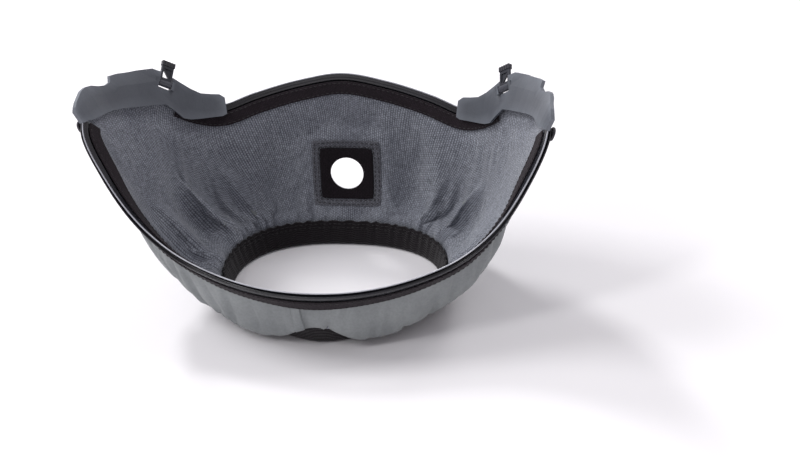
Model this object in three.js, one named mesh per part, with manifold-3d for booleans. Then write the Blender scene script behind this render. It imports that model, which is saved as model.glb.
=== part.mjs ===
// Helmet-mounted hood skirt: a fabric bowl hung between a saddle-shaped rim and an elastic neck band,
// with two moulded corner brackets, each carrying a small quick-release latch.
// Frame: millimetres, +Z up, X left to right, front towards -Y, origin on the floor under the part.

import * as THREE from 'three';
import { mergeVertices } from 'three/addons/utils/BufferGeometryUtils.js';
import Module from 'manifold-3d';

const wasm = await Module();
wasm.setup();

// ---------------------------------------------------------------- driving dimensions

// corner surface that carries a bracket: part of a leaning cone round each rear corner
const CORNER_X = 50;
const CORNER_Y = -15;
const CORNER_RADIUS = 93.2;
const CORNER_LEAN = 0.42;
const LIP_WIDTH = 6;
const LIP_LEAN = 0.8;

// sheet thicknesses and gaps
const FABRIC = 0.7;
const LAYER_GAP = 0.15;
const TAPE = 0.8;
const TAPE_OFFSET = 1.55;
const BRACKET_THICKNESS = 2.4;
const SKIRT_OFFSET = 4.6;
const BACKING_OFFSET = 7.7;
const BACKING_THICKNESS = 1.5;

// rim strip, measured down from its top edge
const STEM_HALF = 0.5;
const STEM_END = 7.4;
const TAPE_TOP = 5.6;
const TAPE_END = 12.8;
const SKIRT_TOP = 8;
const SKIRT_STRAIGHT_END = 14;

// neck band; its front narrows and ends in a small forward pinch
const NECK_HALF_WIDTH = 68.5;
const NECK_HALF_DEPTH = 49;
const NECK_CENTRE_Y = 5;
const NECK_REAR_SQUARENESS = 2.4;
const NECK_FRONT_SQUARENESS = 2;
const NECK_PINCH_DEPTH = 4;
const NECK_PINCH_WIDTH = 20;
const NECK_HEIGHT = 17;
const NECK_FLARE = 0.26;
const NECK_WALL = 1;
const NECK_THICKNESS = 6.4;
const NECK_SKIRT_LINE = 3.8;
const NECK_SKIRT_END = 4;
const NECK_TOP_CLEAR = 18;
const ELASTIC_INNER = 1.4;
const ELASTIC_OUTER = 2.4;
const ELASTIC_LOW = 1.6;
const ELASTIC_HIGH = 15;

// air port in the rear wall
const PORT_HEIGHT = 47;
const PORT_HOLE_RADIUS = 11.4;
const PORT_PAD_WIDTH = 36.6;
const PORT_FRAME_WIDTH = 47.5;
const PORT_GAP = 0.5;
const PORT_PAD_THICKNESS = 1.4;
const PORT_FRAME_THICKNESS = 0.9;

// screws
const SCREW_RADIUS = 1.2;
const SCREW_HOLE_RADIUS = 1.55;
const SCREW_HEAD_RADIUS = 2.8;
const SCREW_HEAD_HEIGHT = 1.6;
const SCREW_GRIP = 1.5;
const SCREW_CLEARANCE = 0.5;
const SOCKET_RADIUS = 1.3;
const SOCKET_FLOOR = 0.7;
const SCREW_PLACES = [
  { angle: 22.5, z: 134 },
  { angle: 31, z: 130 },
  { angle: 40, z: 124.5 },
];

// latch
const LATCH_ANGLE = 47.5;
const LATCH_Z = 126;
const LATCH_SLOPE = 38;
const LATCH_TILT = 17;
const LATCH_WIDTH = 8.4;
const LATCH_LENGTH = 12;
const LATCH_THICKNESS = 1.8;
const LATCH_WINDOW_WIDTH = 5.4;
const LATCH_WINDOW_LENGTH = 6.4;
const LATCH_WINDOW_START = 3.7;
const HUB_RADIUS = 2.3;
const GRIP_HEIGHT = 3.2;
const GRIP_THICKNESS = 3;
const GRIP_GAP = 0.1;
const GRIP_RIDGES = 4;
const GRIP_RIDGE_PITCH = 2;
const PIN_RADIUS = 0.75;
const PIN_HOLE_RADIUS = 0.95;
const PIN_LENGTH = 12.4;
const EAR_WIDTH = 2.4;
const EAR_GAP = 0.4;
const EAR_LENGTH = 5.4;
const EAR_THICKNESS = 4.6;

// ---------------------------------------------------------------- colours

const finish = (colour, roughness, metalness = 0) =>
  new THREE.MeshStandardMaterial({ color: colour, roughness, metalness });

const LINING_GREY = finish('#6b6d72', 0.95);
const COATED_GREY = finish('#8a8f8f', 0.7);
const BAND_BLACK = finish('#18141a', 0.95);
const TAPE_BLACK = finish('#231f25', 0.9);
const CHANNEL_DARK = finish('#2b2a30', 0.35);
const MOULDED_GREY = finish('#62656c', 0.55);
const MOULDED_BLACK = finish('#1f1d22', 0.5);
const LEVER_GREY = finish('#4a4c53', 0.45);
const GRIP_DARK = finish('#34353b', 0.6);
const STEEL_DARK = finish('#3a3a3e', 0.4, 0.8);
const PATCH_GREY = finish('#4b4a50', 0.95);

// ---------------------------------------------------------------- small helpers

const vec = (x, y, z) => new THREE.Vector3(x, y, z);
const along = (point, direction, distance) => point.clone().addScaledVector(direction, distance);
const radians = THREE.MathUtils.degToRad;

// straight-line reading from a list of [position, value, ...] stations
function lookUp(stations, position, column = 1) {
  const last = stations.length - 1;
  if (position <= stations[0][0]) return stations[0][column];
  if (position >= stations[last][0]) return stations[last][column];
  const next = stations.findIndex((station) => station[0] > position);
  const a = stations[next - 1];
  const b = stations[next];
  const share = (position - a[0]) / (b[0] - a[0]);
  return a[column] + share * (b[column] - a[column]);
}

// a closed geometry from triangles, turned so that its faces point outwards
function closedGeometry(points, triangles) {
  let volume = 0;
  for (const [a, b, c] of triangles) {
    volume += points[a].dot(points[b].clone().cross(points[c]));
  }
  const faces = volume > 0 ? triangles : triangles.map(([a, b, c]) => [a, c, b]);
  const geometry = new THREE.BufferGeometry();
  geometry.setFromPoints(points);
  geometry.setIndex(faces.flat());
  return geometry;
}

// a thin solid between two faces; place(i, j, side) gives the point, side 0 inside and 1 outside
function sheetSolid(columns, rows, place, ring = false) {
  const points = [];
  const count = ring ? columns : columns + 1;
  for (let side = 0; side < 2; side += 1) {
    for (let i = 0; i < count; i += 1) {
      for (let j = 0; j <= rows; j += 1) points.push(place(i, j, side));
    }
  }
  const at = (i, j, side) => side * count * (rows + 1) + (i % count) * (rows + 1) + j;
  const triangles = [];
  const quad = (a, b, c, d) => triangles.push([a, b, c], [a, c, d]);
  for (let i = 0; i < columns; i += 1) {
    for (let j = 0; j < rows; j += 1) {
      quad(at(i, j, 0), at(i, j + 1, 0), at(i + 1, j + 1, 0), at(i + 1, j, 0));
      quad(at(i, j, 1), at(i + 1, j, 1), at(i + 1, j + 1, 1), at(i, j + 1, 1));
    }
    quad(at(i, 0, 0), at(i + 1, 0, 0), at(i + 1, 0, 1), at(i, 0, 1));
    quad(at(i, rows, 0), at(i, rows, 1), at(i + 1, rows, 1), at(i + 1, rows, 0));
  }
  if (!ring) {
    for (let j = 0; j < rows; j += 1) {
      quad(at(0, j, 0), at(0, j, 1), at(0, j + 1, 1), at(0, j + 1, 0));
      quad(at(columns, j, 0), at(columns, j + 1, 0), at(columns, j + 1, 1), at(columns, j, 1));
    }
  }
  return closedGeometry(points, triangles);
}

// a profile carried along a row of places; place(i, [out, down]) gives the point
function sweepSolid(steps, profile, place, ring = false) {
  const points = [];
  const count = ring ? steps : steps + 1;
  const size = profile.length;
  for (let i = 0; i < count; i += 1) {
    for (const corner of profile) points.push(place(i, corner));
  }
  const triangles = [];
  for (let i = 0; i < steps; i += 1) {
    const here = i * size;
    const next = ((i + 1) % count) * size;
    for (let k = 0; k < size; k += 1) {
      const m = (k + 1) % size;
      triangles.push([here + k, here + m, next + m], [here + k, next + m, next + k]);
    }
  }
  if (!ring) {
    const outline = profile.map(([a, b]) => new THREE.Vector2(a, b));
    const counterClockwise = THREE.ShapeUtils.area(outline) > 0;
    const cap = THREE.ShapeUtils.triangulateShape(outline, []);
    for (const [a, b, c] of cap) {
      const start = counterClockwise ? [a, c, b] : [a, b, c];
      triangles.push(start);
      triangles.push([...start].reverse().map((k) => k + steps * size));
    }
  }
  return closedGeometry(points, triangles);
}

function toManifold(geometry) {
  const bare = new THREE.BufferGeometry();
  bare.setAttribute('position', geometry.getAttribute('position').clone());
  if (geometry.index) bare.setIndex(geometry.index.clone());
  const merged = mergeVertices(bare, 1e-4);
  const mesh = new wasm.Mesh({
    numProp: 3,
    vertProperties: new Float32Array(merged.getAttribute('position').array),
    triVerts: new Uint32Array(merged.index.array),
  });
  return new wasm.Manifold(mesh);
}

function toGeometry(manifold) {
  const mesh = manifold.getMesh();
  const geometry = new THREE.BufferGeometry();
  geometry.setAttribute('position', new THREE.BufferAttribute(Float32Array.from(mesh.vertProperties), 3));
  geometry.setIndex(new THREE.BufferAttribute(Uint32Array.from(mesh.triVerts), 1));
  return geometry;
}

const cut = (geometry, tools) =>
  toGeometry(tools.reduce((body, tool) => body.subtract(toManifold(tool)), toManifold(geometry)));

const join = (geometry, extras) =>
  toGeometry(extras.reduce((body, extra) => body.add(toManifold(extra)), toManifold(geometry)));

// a matrix whose columns are the given axes and whose origin is the given point
const frameMatrix = (origin, xAxis, yAxis, zAxis) =>
  new THREE.Matrix4().makeBasis(xAxis, yAxis, zAxis).setPosition(origin);

// a cylinder along direction, from start
function rod(start, direction, length, radius, sides = 16) {
  const turn = new THREE.Quaternion().setFromUnitVectors(vec(0, 1, 0), direction);
  const geometry = new THREE.CylinderGeometry(radius, radius, length, sides);
  geometry.translate(0, length / 2, 0);
  geometry.applyQuaternion(turn);
  return geometry.translate(start.x, start.y, start.z);
}

// ---------------------------------------------------------------- corner surface

// height of the leaning cone's top line, by angle round the corner
const CORNER_TOP = [
  [-12, 154.5], [0, 154.3], [8, 152.6], [16, 149], [26, 145.7], [34, 142], [42, 137],
  [48, 131.5], [54, 123], [60, 115], [66, 109.5], [74, 105.5], [80, 104],
];

// how much of the top is turned outward as a lip, fading out before the tail
const LIP_SHARE = [[0, 0], [14, 0.8], [24, 1], [40, 1], [50, 0], [80, 0]];

// angle runs from the outer side round to the rear, in degrees
function cornerBase(angle, z, lip) {
  const drop = lookUp(CORNER_TOP, angle) - z;
  const turned = lip ? Math.max(LIP_WIDTH - drop, 0) * (LIP_LEAN - CORNER_LEAN) : 0;
  const radius = CORNER_RADIUS - CORNER_LEAN * drop + turned * lookUp(LIP_SHARE, angle);
  const a = radians(angle);
  return vec(CORNER_X + radius * Math.cos(a), CORNER_Y + radius * Math.sin(a), z);
}

function cornerAxes(angle, z) {
  const a = radians(angle);
  const outward = vec(Math.cos(a), Math.sin(a), -CORNER_LEAN).normalize();
  const rearward = vec(-Math.sin(a), Math.cos(a), 0);
  const up = rearward.clone().cross(outward).multiplyScalar(-1);
  return { outward, rearward, up };
}

const cornerPoint = (angle, z, offset, lip = false) =>
  along(cornerBase(angle, z, lip), cornerAxes(angle, z).outward, offset);

// ---------------------------------------------------------------- rim and neck lines

// neck point at an angle round the band; outset is measured out from its inner face
function neckPoint(angle, outset, z) {
  const a = radians(angle);
  const share = 2 / (Math.sin(a) > 0 ? NECK_REAR_SQUARENESS : NECK_FRONT_SQUARENESS);
  const bend = (value) => Math.sign(value) * Math.abs(value) ** share;
  const x = (NECK_HALF_WIDTH + outset + NECK_FLARE * z) * bend(Math.cos(a));
  const y = NECK_CENTRE_Y + (NECK_HALF_DEPTH + outset + NECK_FLARE * z) * bend(Math.sin(a));
  const pinch = Math.sin(a) < 0 ? NECK_PINCH_DEPTH * Math.exp(-((x / NECK_PINCH_WIDTH) ** 2)) : 0;
  return vec(x, y - pinch, z);
}

// half of the rim's top line from the front centre to the rear centre, with the neck angle it hangs to
const hidden = (angle, z) => cornerPoint(angle, z, SKIRT_OFFSET);
const HALF_RIM = [
  { rim: vec(0, -70, 49), neck: -90 },
  { rim: vec(31, -67.5, 50), neck: -70 },
  { rim: vec(61, -60, 54), neck: -53 },
  { rim: vec(90, -50, 63), neck: -39 },
  { rim: vec(113, -42, 81), neck: -29 },
  { rim: vec(131, -34.5, 108), neck: -20 },
  { rim: vec(142.5, -25, 133), neck: -12 },
  { rim: hidden(4, 144), neck: -2, corner: 4 },
  { rim: hidden(22, 139.5), neck: 9, corner: 22 },
  { rim: hidden(38, 131.5), neck: 22, corner: 38 },
  { rim: hidden(50, 118), neck: 33, corner: 50 },
  { rim: hidden(61, 105.5), neck: 44, corner: 61 },
  { rim: hidden(70, 100.5), neck: 54, corner: 70 },
  { rim: vec(60, 81, 104.5), neck: 66 },
  { rim: vec(30, 85, 112.5), neck: 78 },
  { rim: vec(0, 86, 117.5), neck: 90 },
];
const HALF_COUNT = HALF_RIM.length - 1;
const HOOP_COUNT = 2 * HALF_COUNT;

// every station round the hoop, the second half being the mirror of the first
const hoop = [];
for (let i = 0; i < HOOP_COUNT; i += 1) {
  const mirrored = i > HALF_COUNT;
  const station = HALF_RIM[mirrored ? HOOP_COUNT - i : i];
  const rim = station.rim.clone();
  const neck = neckPoint(station.neck, NECK_SKIRT_LINE, NECK_TOP_CLEAR);
  if (mirrored) {
    rim.x *= -1;
    neck.x *= -1;
  }
  hoop.push({ rim, neck, corner: station.corner, mirrored });
}
const loop = (points) => new THREE.CatmullRomCurve3(points, true, 'centripetal');
const rimLine = loop(hoop.map((station) => station.rim));
const neckLine = loop(hoop.map((station) => station.neck));

// direction in which the strip hangs at each station: square to the rim, towards the neck
const hangs = hoop.map((station, i) => {
  if (station.corner !== undefined) {
    const down = cornerAxes(station.corner, station.rim.z).up.negate();
    if (station.mirrored) down.x *= -1;
    return down;
  }
  const tangent = rimLine.getTangent(i / HOOP_COUNT);
  const towards = station.neck.clone().sub(station.rim);
  towards.addScaledVector(tangent, -towards.dot(tangent));
  return towards.normalize();
});
const hangLine = loop(hangs);

// rim frame at a place round the hoop, given in stations from the front centre
function rimFrame(place) {
  const t = (((place / HOOP_COUNT) % 1) + 1) % 1;
  const origin = rimLine.getPoint(t);
  const tangent = rimLine.getTangent(t);
  const down = hangLine.getPoint(t);
  down.addScaledVector(tangent, -down.dot(tangent)).normalize();
  const outward = down.clone().cross(tangent).normalize();
  return { origin, down, outward };
}

const rimPoint = (place, out, down) => {
  const frame = rimFrame(place);
  return along(along(frame.origin, frame.down, down), frame.outward, out);
};

// ---------------------------------------------------------------- skirt surface

const SKIRT_COLUMNS = 60;
const ROWS_IN_TAPE = 1;
const ROWS_IN_BAND = 1;
const ROWS_HANGING = 6;
const SKIRT_ROWS = ROWS_IN_TAPE + ROWS_HANGING + ROWS_IN_BAND;

// how far the skirt keeps the strip's direction, as a share of its span, by station
const HANG_SHARE = [[0, 0.1], [5, 0.1], [8, 0.22], [11, 0.28], [15, 0.28]];
// how far it sags straight down, as a share of its span, and how far it bellies out, by station
const SAG_SHARE = [[0, 0.2], [3, 0.3], [5, 0.25], [7, 0.1], [9, 0]];
const BELLY = [[0, 5], [1, 8], [3, 14], [5, 10], [8, 3], [15, 3]];
const BELLY_OUT_SHARE = 0.14;
const BELLY_UP_SHARE = 0.26;

// height 0 is the skirt's top edge and 1 its bottom edge; place is in stations round the hoop
function skirtBase(place, height) {
  const t = (((place / HOOP_COUNT) % 1) + 1) % 1;
  const row = height * SKIRT_ROWS;
  const frame = rimFrame(place);
  const start = along(frame.origin, frame.down, SKIRT_STRAIGHT_END);
  if (row <= ROWS_IN_TAPE) {
    const share = row / ROWS_IN_TAPE;
    return along(frame.origin, frame.down, THREE.MathUtils.lerp(SKIRT_TOP, SKIRT_STRAIGHT_END, share));
  }
  const end = neckLine.getPoint(t);
  const outward = vec(end.x / NECK_HALF_WIDTH, (end.y - NECK_CENTRE_Y) / NECK_HALF_DEPTH, 0).normalize();
  const bandUp = outward.clone().multiplyScalar(NECK_FLARE).add(vec(0, 0, 1));
  if (row >= ROWS_IN_TAPE + ROWS_HANGING) {
    const share = (row - ROWS_IN_TAPE - ROWS_HANGING) / ROWS_IN_BAND;
    return along(end, bandUp, -share * (NECK_TOP_CLEAR - NECK_SKIRT_END));
  }
  const span = start.distanceTo(end);
  const share = (row - ROWS_IN_TAPE) / ROWS_HANGING;
  const station = Math.min(t * HOOP_COUNT, HOOP_COUNT - t * HOOP_COUNT);
  const bellyOut = lookUp(BELLY, station) + BELLY_OUT_SHARE * span;
  const belly = along(along(end, outward, bellyOut), vec(0, 0, 1), 1 + BELLY_UP_SHARE * span);
  const hang = along(start, frame.down, lookUp(HANG_SHARE, station) * span);
  hang.z -= lookUp(SAG_SHARE, station) * span;
  return new THREE.CubicBezierCurve3(start, hang, belly, end).getPoint(share);
}

function skirtPoint(place, height, offset) {
  const step = 0.02;
  const low = Math.max(height - step, 0);
  const high = Math.min(height + step, 1);
  const acrossStep = skirtBase(place + 0.1, height).sub(skirtBase(place - 0.1, height));
  const downStep = skirtBase(place, high).sub(skirtBase(place, low));
  const outward = downStep.cross(acrossStep).normalize();
  return along(skirtBase(place, height), outward, offset);
}

const skirtLayer = (inner, outer) =>
  sheetSolid(
    SKIRT_COLUMNS,
    SKIRT_ROWS,
    (i, j, side) => skirtPoint((i * HOOP_COUNT) / SKIRT_COLUMNS, j / SKIRT_ROWS, side ? outer : inner),
    true,
  );

// ---------------------------------------------------------------- assembly

const hood = new THREE.Group();
hood.name = 'smoke_hood';

function addPiece(name, geometry, material) {
  const mesh = new THREE.Mesh(geometry, material);
  mesh.name = name;
  hood.add(mesh);
}

function mirrorX(geometry) {
  const copy = geometry.clone();
  copy.scale(-1, 1, 1);
  const corners = copy.index.array;
  const flipped = [];
  for (let i = 0; i < corners.length; i += 3) flipped.push(corners[i], corners[i + 2], corners[i + 1]);
  copy.setIndex(flipped);
  return copy;
}

function addPair(name, geometry, material) {
  addPiece(`right_${name}`, geometry, material);
  addPiece(`left_${name}`, mirrorX(geometry), material);
}

// ---------------------------------------------------------------- skirt and its air port

// the place down the rear meridian at which the skirt is at a height
function rearHeightAt(z) {
  let low = 0;
  let high = 1;
  for (let i = 0; i < 30; i += 1) {
    const middle = (low + high) / 2;
    if (skirtBase(HALF_COUNT, middle).z > z) low = middle;
    else high = middle;
  }
  return low;
}

const portHeight = rearHeightAt(PORT_HEIGHT);
const portCentre = skirtPoint(HALF_COUNT, portHeight, 0);
const portOut = skirtPoint(HALF_COUNT, portHeight, 1).sub(portCentre).normalize();
const portUp = vec(1, 0, 0).cross(portOut).negate();
if (portUp.z < 0) portUp.negate();

// skirt point at a place across and up from the middle of the air port
function portPoint(across, up, offset) {
  const target = portCentre.clone().add(vec(across, 0, 0)).addScaledVector(portUp, up);
  let place = HALF_COUNT;
  let height = portHeight;
  for (let i = 0; i < 12; i += 1) {
    const miss = target.clone().sub(skirtBase(place, height));
    const acrossStep = skirtBase(place + 0.1, height).sub(skirtBase(place - 0.1, height)).divideScalar(0.2);
    const downStep = skirtBase(place, height + 0.01).sub(skirtBase(place, height - 0.01)).divideScalar(0.02);
    place += miss.dot(acrossStep) / acrossStep.lengthSq();
    height += miss.dot(downStep) / downStep.lengthSq();
  }
  return skirtPoint(place, height, offset);
}

const portTool = () =>
  rod(along(portCentre, portOut, -20), portOut, 40, PORT_HOLE_RADIUS, 32);

const squarePatch = (width, nearOffset, farOffset, steps) =>
  sheetSolid(steps, steps, (i, j, side) =>
    portPoint(
      width * (i / steps - 0.5),
      width * (0.5 - j / steps),
      side ? farOffset : nearOffset,
    ));

const liningInner = -LAYER_GAP - FABRIC;
const patchOutside = liningInner - PORT_GAP;
const windowTool = squarePatch(PORT_PAD_WIDTH + 2 * PORT_GAP, -8, 4, 2);

addPiece('skirt_lining', cut(skirtLayer(liningInner, -LAYER_GAP), [portTool()]), LINING_GREY);
addPiece('skirt_shell', cut(skirtLayer(LAYER_GAP, LAYER_GAP + FABRIC), [portTool()]), COATED_GREY);
addPiece(
  'port_frame',
  cut(squarePatch(PORT_FRAME_WIDTH, patchOutside - PORT_FRAME_THICKNESS, patchOutside, 6), [windowTool]),
  PATCH_GREY,
);
addPiece(
  'port_pad',
  cut(squarePatch(PORT_PAD_WIDTH, patchOutside - PORT_PAD_THICKNESS, patchOutside, 5), [portTool()]),
  BAND_BLACK,
);

// ---------------------------------------------------------------- neck band

const NECK_STEPS = 56;
const neckPlace = (i, [out, z]) => neckPoint((i * 360) / NECK_STEPS, out, z);
const foldedBinding = [
  [0, NECK_HEIGHT], [0, 0], [NECK_THICKNESS, 0], [NECK_THICKNESS, NECK_HEIGHT],
  [NECK_THICKNESS - NECK_WALL, NECK_HEIGHT], [NECK_THICKNESS - NECK_WALL, NECK_WALL],
  [NECK_WALL, NECK_WALL], [NECK_WALL, NECK_HEIGHT],
];
const flatElastic = [
  [ELASTIC_INNER, ELASTIC_LOW], [ELASTIC_OUTER, ELASTIC_LOW],
  [ELASTIC_OUTER, ELASTIC_HIGH], [ELASTIC_INNER, ELASTIC_HIGH],
];
addPiece('neck_binding', sweepSolid(NECK_STEPS, foldedBinding, neckPlace, true), BAND_BLACK);
addPiece('neck_elastic', sweepSolid(NECK_STEPS, flatElastic, neckPlace, true), BAND_BLACK);

// ---------------------------------------------------------------- rim strips

// open-topped channel: bead on the inner lip, slot, lower outer lip, rib and stem
const channelProfile = [
  [-1.35, 2.6], [-1.75, 4.6], [-STEM_HALF, 5.1], [-STEM_HALF, STEM_END], [STEM_HALF, STEM_END],
  [STEM_HALF, 5.1], [1.75, 4.6], [1.75, 1.1], [0.8, 0.9], [0.7, 3.2], [-0.7, 3.2], [-0.8, 0.3],
  [-1.3, 0], [-1.75, 0.5],
];
const tapeProfile = (near, far) => [[near, TAPE_TOP], [far, TAPE_TOP], [far, TAPE_END], [near, TAPE_END]];

function addRimStrip(name, start, end, steps) {
  const place = (i, [out, down]) => rimPoint(start + ((end - start) * i) / steps, out, down);
  addPiece(`${name}_rim_channel`, sweepSolid(steps, channelProfile, place), CHANNEL_DARK);
  addPiece(
    `${name}_rim_tape_inner`,
    sweepSolid(steps, tapeProfile(-TAPE_OFFSET - TAPE, -TAPE_OFFSET), place),
    TAPE_BLACK,
  );
  addPiece(
    `${name}_rim_tape_outer`,
    sweepSolid(steps, tapeProfile(TAPE_OFFSET, TAPE_OFFSET + TAPE), place),
    TAPE_BLACK,
  );
}
addRimStrip('front', -6.5, 6.5, 42);
addRimStrip('rear', HALF_COUNT - 4.8, HALF_COUNT + 4.8, 30);

// leaf-shaped tab that closes the outer face of each end of the front strip
const TAB_START = 6.12;
const TAB_END = 6.6;
const TAB_STEPS = 8;
const TAB_INNER = 2.5;
const TAB_OUTER = 3.8;
const TAB_MIDDLE = 5.5;
addPair(
  'rim_tab',
  sheetSolid(TAB_STEPS, 2, (i, j, side) => {
    const share = i / TAB_STEPS;
    const halfWidth = 1 + 4.5 * Math.sin(Math.PI * (0.12 + 0.7 * share));
    const place = TAB_START + (TAB_END - TAB_START) * share;
    return rimPoint(place, side ? TAB_OUTER : TAB_INNER, TAB_MIDDLE + halfWidth * (j - 1));
  }),
  MOULDED_BLACK,
);

// seam tape down the front of the coated shell, a little to the left of its centre
const SEAM_PLACE = -0.36;
const SEAM_HALF_WIDTH = 0.09;
addPiece(
  'front_seam_tape',
  sheetSolid(2, 6, (i, j, side) => {
    const height = THREE.MathUtils.lerp(0.12, 0.84, j / 6);
    const offset = LAYER_GAP + FABRIC + 0.35 + (side ? 0.6 : 0);
    return skirtPoint(SEAM_PLACE + SEAM_HALF_WIDTH * (i - 1), height, offset);
  }),
  COATED_GREY,
);

// ---------------------------------------------------------------- brackets

// angle round the corner, height of the upper edge, height of the lower edge
const BRACKET_OUTLINE = [
  [-4.2, 148.6, 141], [-3.5, 150.6, 140], [-2, 152.4, 139.4], [0.5, 153.6, 137.4],
  [3.5, 154.2, 135.8], [7, 153.4, 134.6], [11, 150.9, 133], [15, 147.2, 131],
  [19, 144.6, 128.8], [22, 144.2, 127.2], [24, 146.6, 126],
  [28, 145, 123.7], [33, 142.3, 120.9], [38, 140, 118.3], [44.5, 137, 114.8], [48, 133, 108.6],
  [51.5, 127.5, 101.6], [55, 121.5, 98.6], [58.5, 115.8, 96.8], [62.5, 110.8, 95.4],
  [67, 108.3, 94.2], [70, 107.2, 93.7], [72, 104.5, 94.6],
];
// how far the bracket's front end turns outwards, by angle
const BRACKET_FLARE = [[-4.2, 5.4], [-3.5, 4.2], [-2, 2.9], [0.5, 1.6], [3.5, 0.7], [7, 0]];
const BACKING_OUTLINE = [
  [18, 137, 133.4], [19.2, 138.6, 131], [22, 138.6, 129.2], [28, 136.6, 126], [34, 134, 122.5],
  [43, 127.5, 117.5], [46, 121, 114], [51, 115, 107], [56, 111, 102], [62, 106, 98.5],
  [66, 103, 98.6], [68, 101.5, 99.5],
];

function outlinePlate(outline, inner, outer, lip, flare) {
  const rows = 3;
  return sheetSolid(outline.length - 1, rows, (i, j, side) => {
    const [angle, top, bottom] = outline[i];
    const z = THREE.MathUtils.lerp(top, bottom, j / rows);
    return cornerPoint(angle, z, lookUp(flare, angle) + (side ? outer : inner), lip);
  });
}

// latch frame: width runs down the shoulder, length stands up from it, outward leaves the hood
const latchCorner = cornerAxes(LATCH_ANGLE, LATCH_Z);
const slope = radians(LATCH_SLOPE);
const latchWidthAxis = latchCorner.rearward.clone().multiplyScalar(Math.cos(slope))
  .addScaledVector(latchCorner.up, -Math.sin(slope));
const bracketLengthAxis = latchCorner.up.clone().multiplyScalar(Math.cos(slope))
  .addScaledVector(latchCorner.rearward, Math.sin(slope));
const pivot = cornerPoint(LATCH_ANGLE, LATCH_Z, 0);
const tilt = radians(LATCH_TILT);
const latchLengthAxis = bracketLengthAxis.clone().multiplyScalar(Math.cos(tilt))
  .addScaledVector(latchCorner.outward, Math.sin(tilt));
const latchOutAxis = latchCorner.outward.clone().multiplyScalar(Math.cos(tilt))
  .addScaledVector(bracketLengthAxis, -Math.sin(tilt));
const onBracket = frameMatrix(pivot, latchWidthAxis, bracketLengthAxis, latchCorner.outward);
const onLatch = frameMatrix(pivot, latchWidthAxis, latchLengthAxis, latchOutAxis);

// a block in a latch frame: width, length and outward sizes, then its centre in the same order
function block(matrix, size, centre) {
  const geometry = new THREE.BoxGeometry(...size).translate(...centre);
  return geometry.applyMatrix4(matrix);
}

function pinRod(length, radius) {
  return rod(along(pivot, latchWidthAxis, -length / 2), latchWidthAxis, length, radius, 12);
}

const pocketWidth = LATCH_WIDTH + 2 * EAR_GAP;
const pocket = block(onBracket, [pocketWidth, 22, 12], [0, 11 - HUB_RADIUS - 0.9, 0]);
const earCentre = pocketWidth / 2 + EAR_WIDTH / 2;
const ears = [-1, 1].map((side) =>
  block(onBracket, [EAR_WIDTH, EAR_LENGTH, EAR_THICKNESS], [side * earCentre, 0, 0]));
const screwAxis = (place) => cornerAxes(place.angle, place.z).outward;
const screwTool = (place) =>
  rod(cornerPoint(place.angle, place.z, -0.5), screwAxis(place), 14, SCREW_HOLE_RADIUS, 12);

const bracketPlate = outlinePlate(
  BRACKET_OUTLINE,
  -BRACKET_THICKNESS / 2,
  BRACKET_THICKNESS / 2,
  true,
  BRACKET_FLARE,
);
const bracket = cut(join(cut(bracketPlate, [pocket]), ears), [
  pinRod(PIN_LENGTH + 0.4, PIN_HOLE_RADIUS),
  ...SCREW_PLACES.map(screwTool),
]);
const backing = cut(
  outlinePlate(
    BACKING_OUTLINE,
    BACKING_OFFSET,
    BACKING_OFFSET + BACKING_THICKNESS,
    false,
    [[0, 0]],
  ),
  SCREW_PLACES.map(screwTool),
);
addPair('bracket', bracket, MOULDED_GREY);
addPair('backing_plate', backing, MOULDED_BLACK);

SCREW_PLACES.forEach((place, i) => {
  const axis = screwAxis(place);
  const onAxis = (offset) => cornerPoint(place.angle, place.z, offset);
  const seat = BACKING_OFFSET + BACKING_THICKNESS + SCREW_CLEARANCE;
  const start = BRACKET_THICKNESS / 2 - SCREW_GRIP;
  const shank = rod(onAxis(start), axis, seat - start + SCREW_CLEARANCE, SCREW_RADIUS, 12);
  const head = rod(onAxis(seat), axis, SCREW_HEAD_HEIGHT, SCREW_HEAD_RADIUS, 16);
  const socket = rod(onAxis(seat + SOCKET_FLOOR), axis, SCREW_HEAD_HEIGHT, SOCKET_RADIUS, 6);
  addPair(`bracket_screw_${i + 1}`, cut(join(shank, [head]), [socket]), STEEL_DARK);
});

// ---------------------------------------------------------------- latches

const windowMiddle = LATCH_WINDOW_START + LATCH_WINDOW_LENGTH / 2;
const leverPlate = block(
  onLatch,
  [LATCH_WIDTH, LATCH_LENGTH, LATCH_THICKNESS],
  [0, LATCH_LENGTH / 2, 0],
);
const leverWindow = block(onLatch, [LATCH_WINDOW_WIDTH, LATCH_WINDOW_LENGTH, 6], [0, windowMiddle, 0]);
const hub = rod(
  along(pivot, latchWidthAxis, -LATCH_WIDTH / 2),
  latchWidthAxis,
  LATCH_WIDTH,
  HUB_RADIUS,
  16,
);
// the brace runs corner to corner across the window, with a thin web filling the half above it
const halfWindow = LATCH_WINDOW_WIDTH / 2 + 0.3;
const windowLow = LATCH_WINDOW_START - 0.3;
const windowHigh = LATCH_WINDOW_START + LATCH_WINDOW_LENGTH + 0.3;
function windowShape(corners, thickness) {
  const shape = new THREE.Shape(corners.map(([across, up]) => new THREE.Vector2(across, up)));
  const geometry = new THREE.ExtrudeGeometry(shape, { depth: thickness, bevelEnabled: false });
  return geometry.translate(0, 0, -thickness / 2).applyMatrix4(onLatch);
}
const brace = windowShape(
  [
    [-halfWindow, windowHigh - 0.9], [halfWindow - 0.9, windowLow],
    [halfWindow, windowLow + 0.4], [-halfWindow + 0.5, windowHigh],
  ],
  1.3,
);
const web = windowShape(
  [[-halfWindow, windowHigh], [halfWindow, windowLow + 0.6], [halfWindow, windowHigh]],
  0.5,
);
const lever = cut(join(cut(leverPlate, [leverWindow]), [hub, brace, web]), [
  pinRod(LATCH_WIDTH + 4, PIN_HOLE_RADIUS),
]);
addPair('latch_lever', lever, LEVER_GREY);
addPair('latch_pin', pinRod(PIN_LENGTH, PIN_RADIUS), STEEL_DARK);

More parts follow.
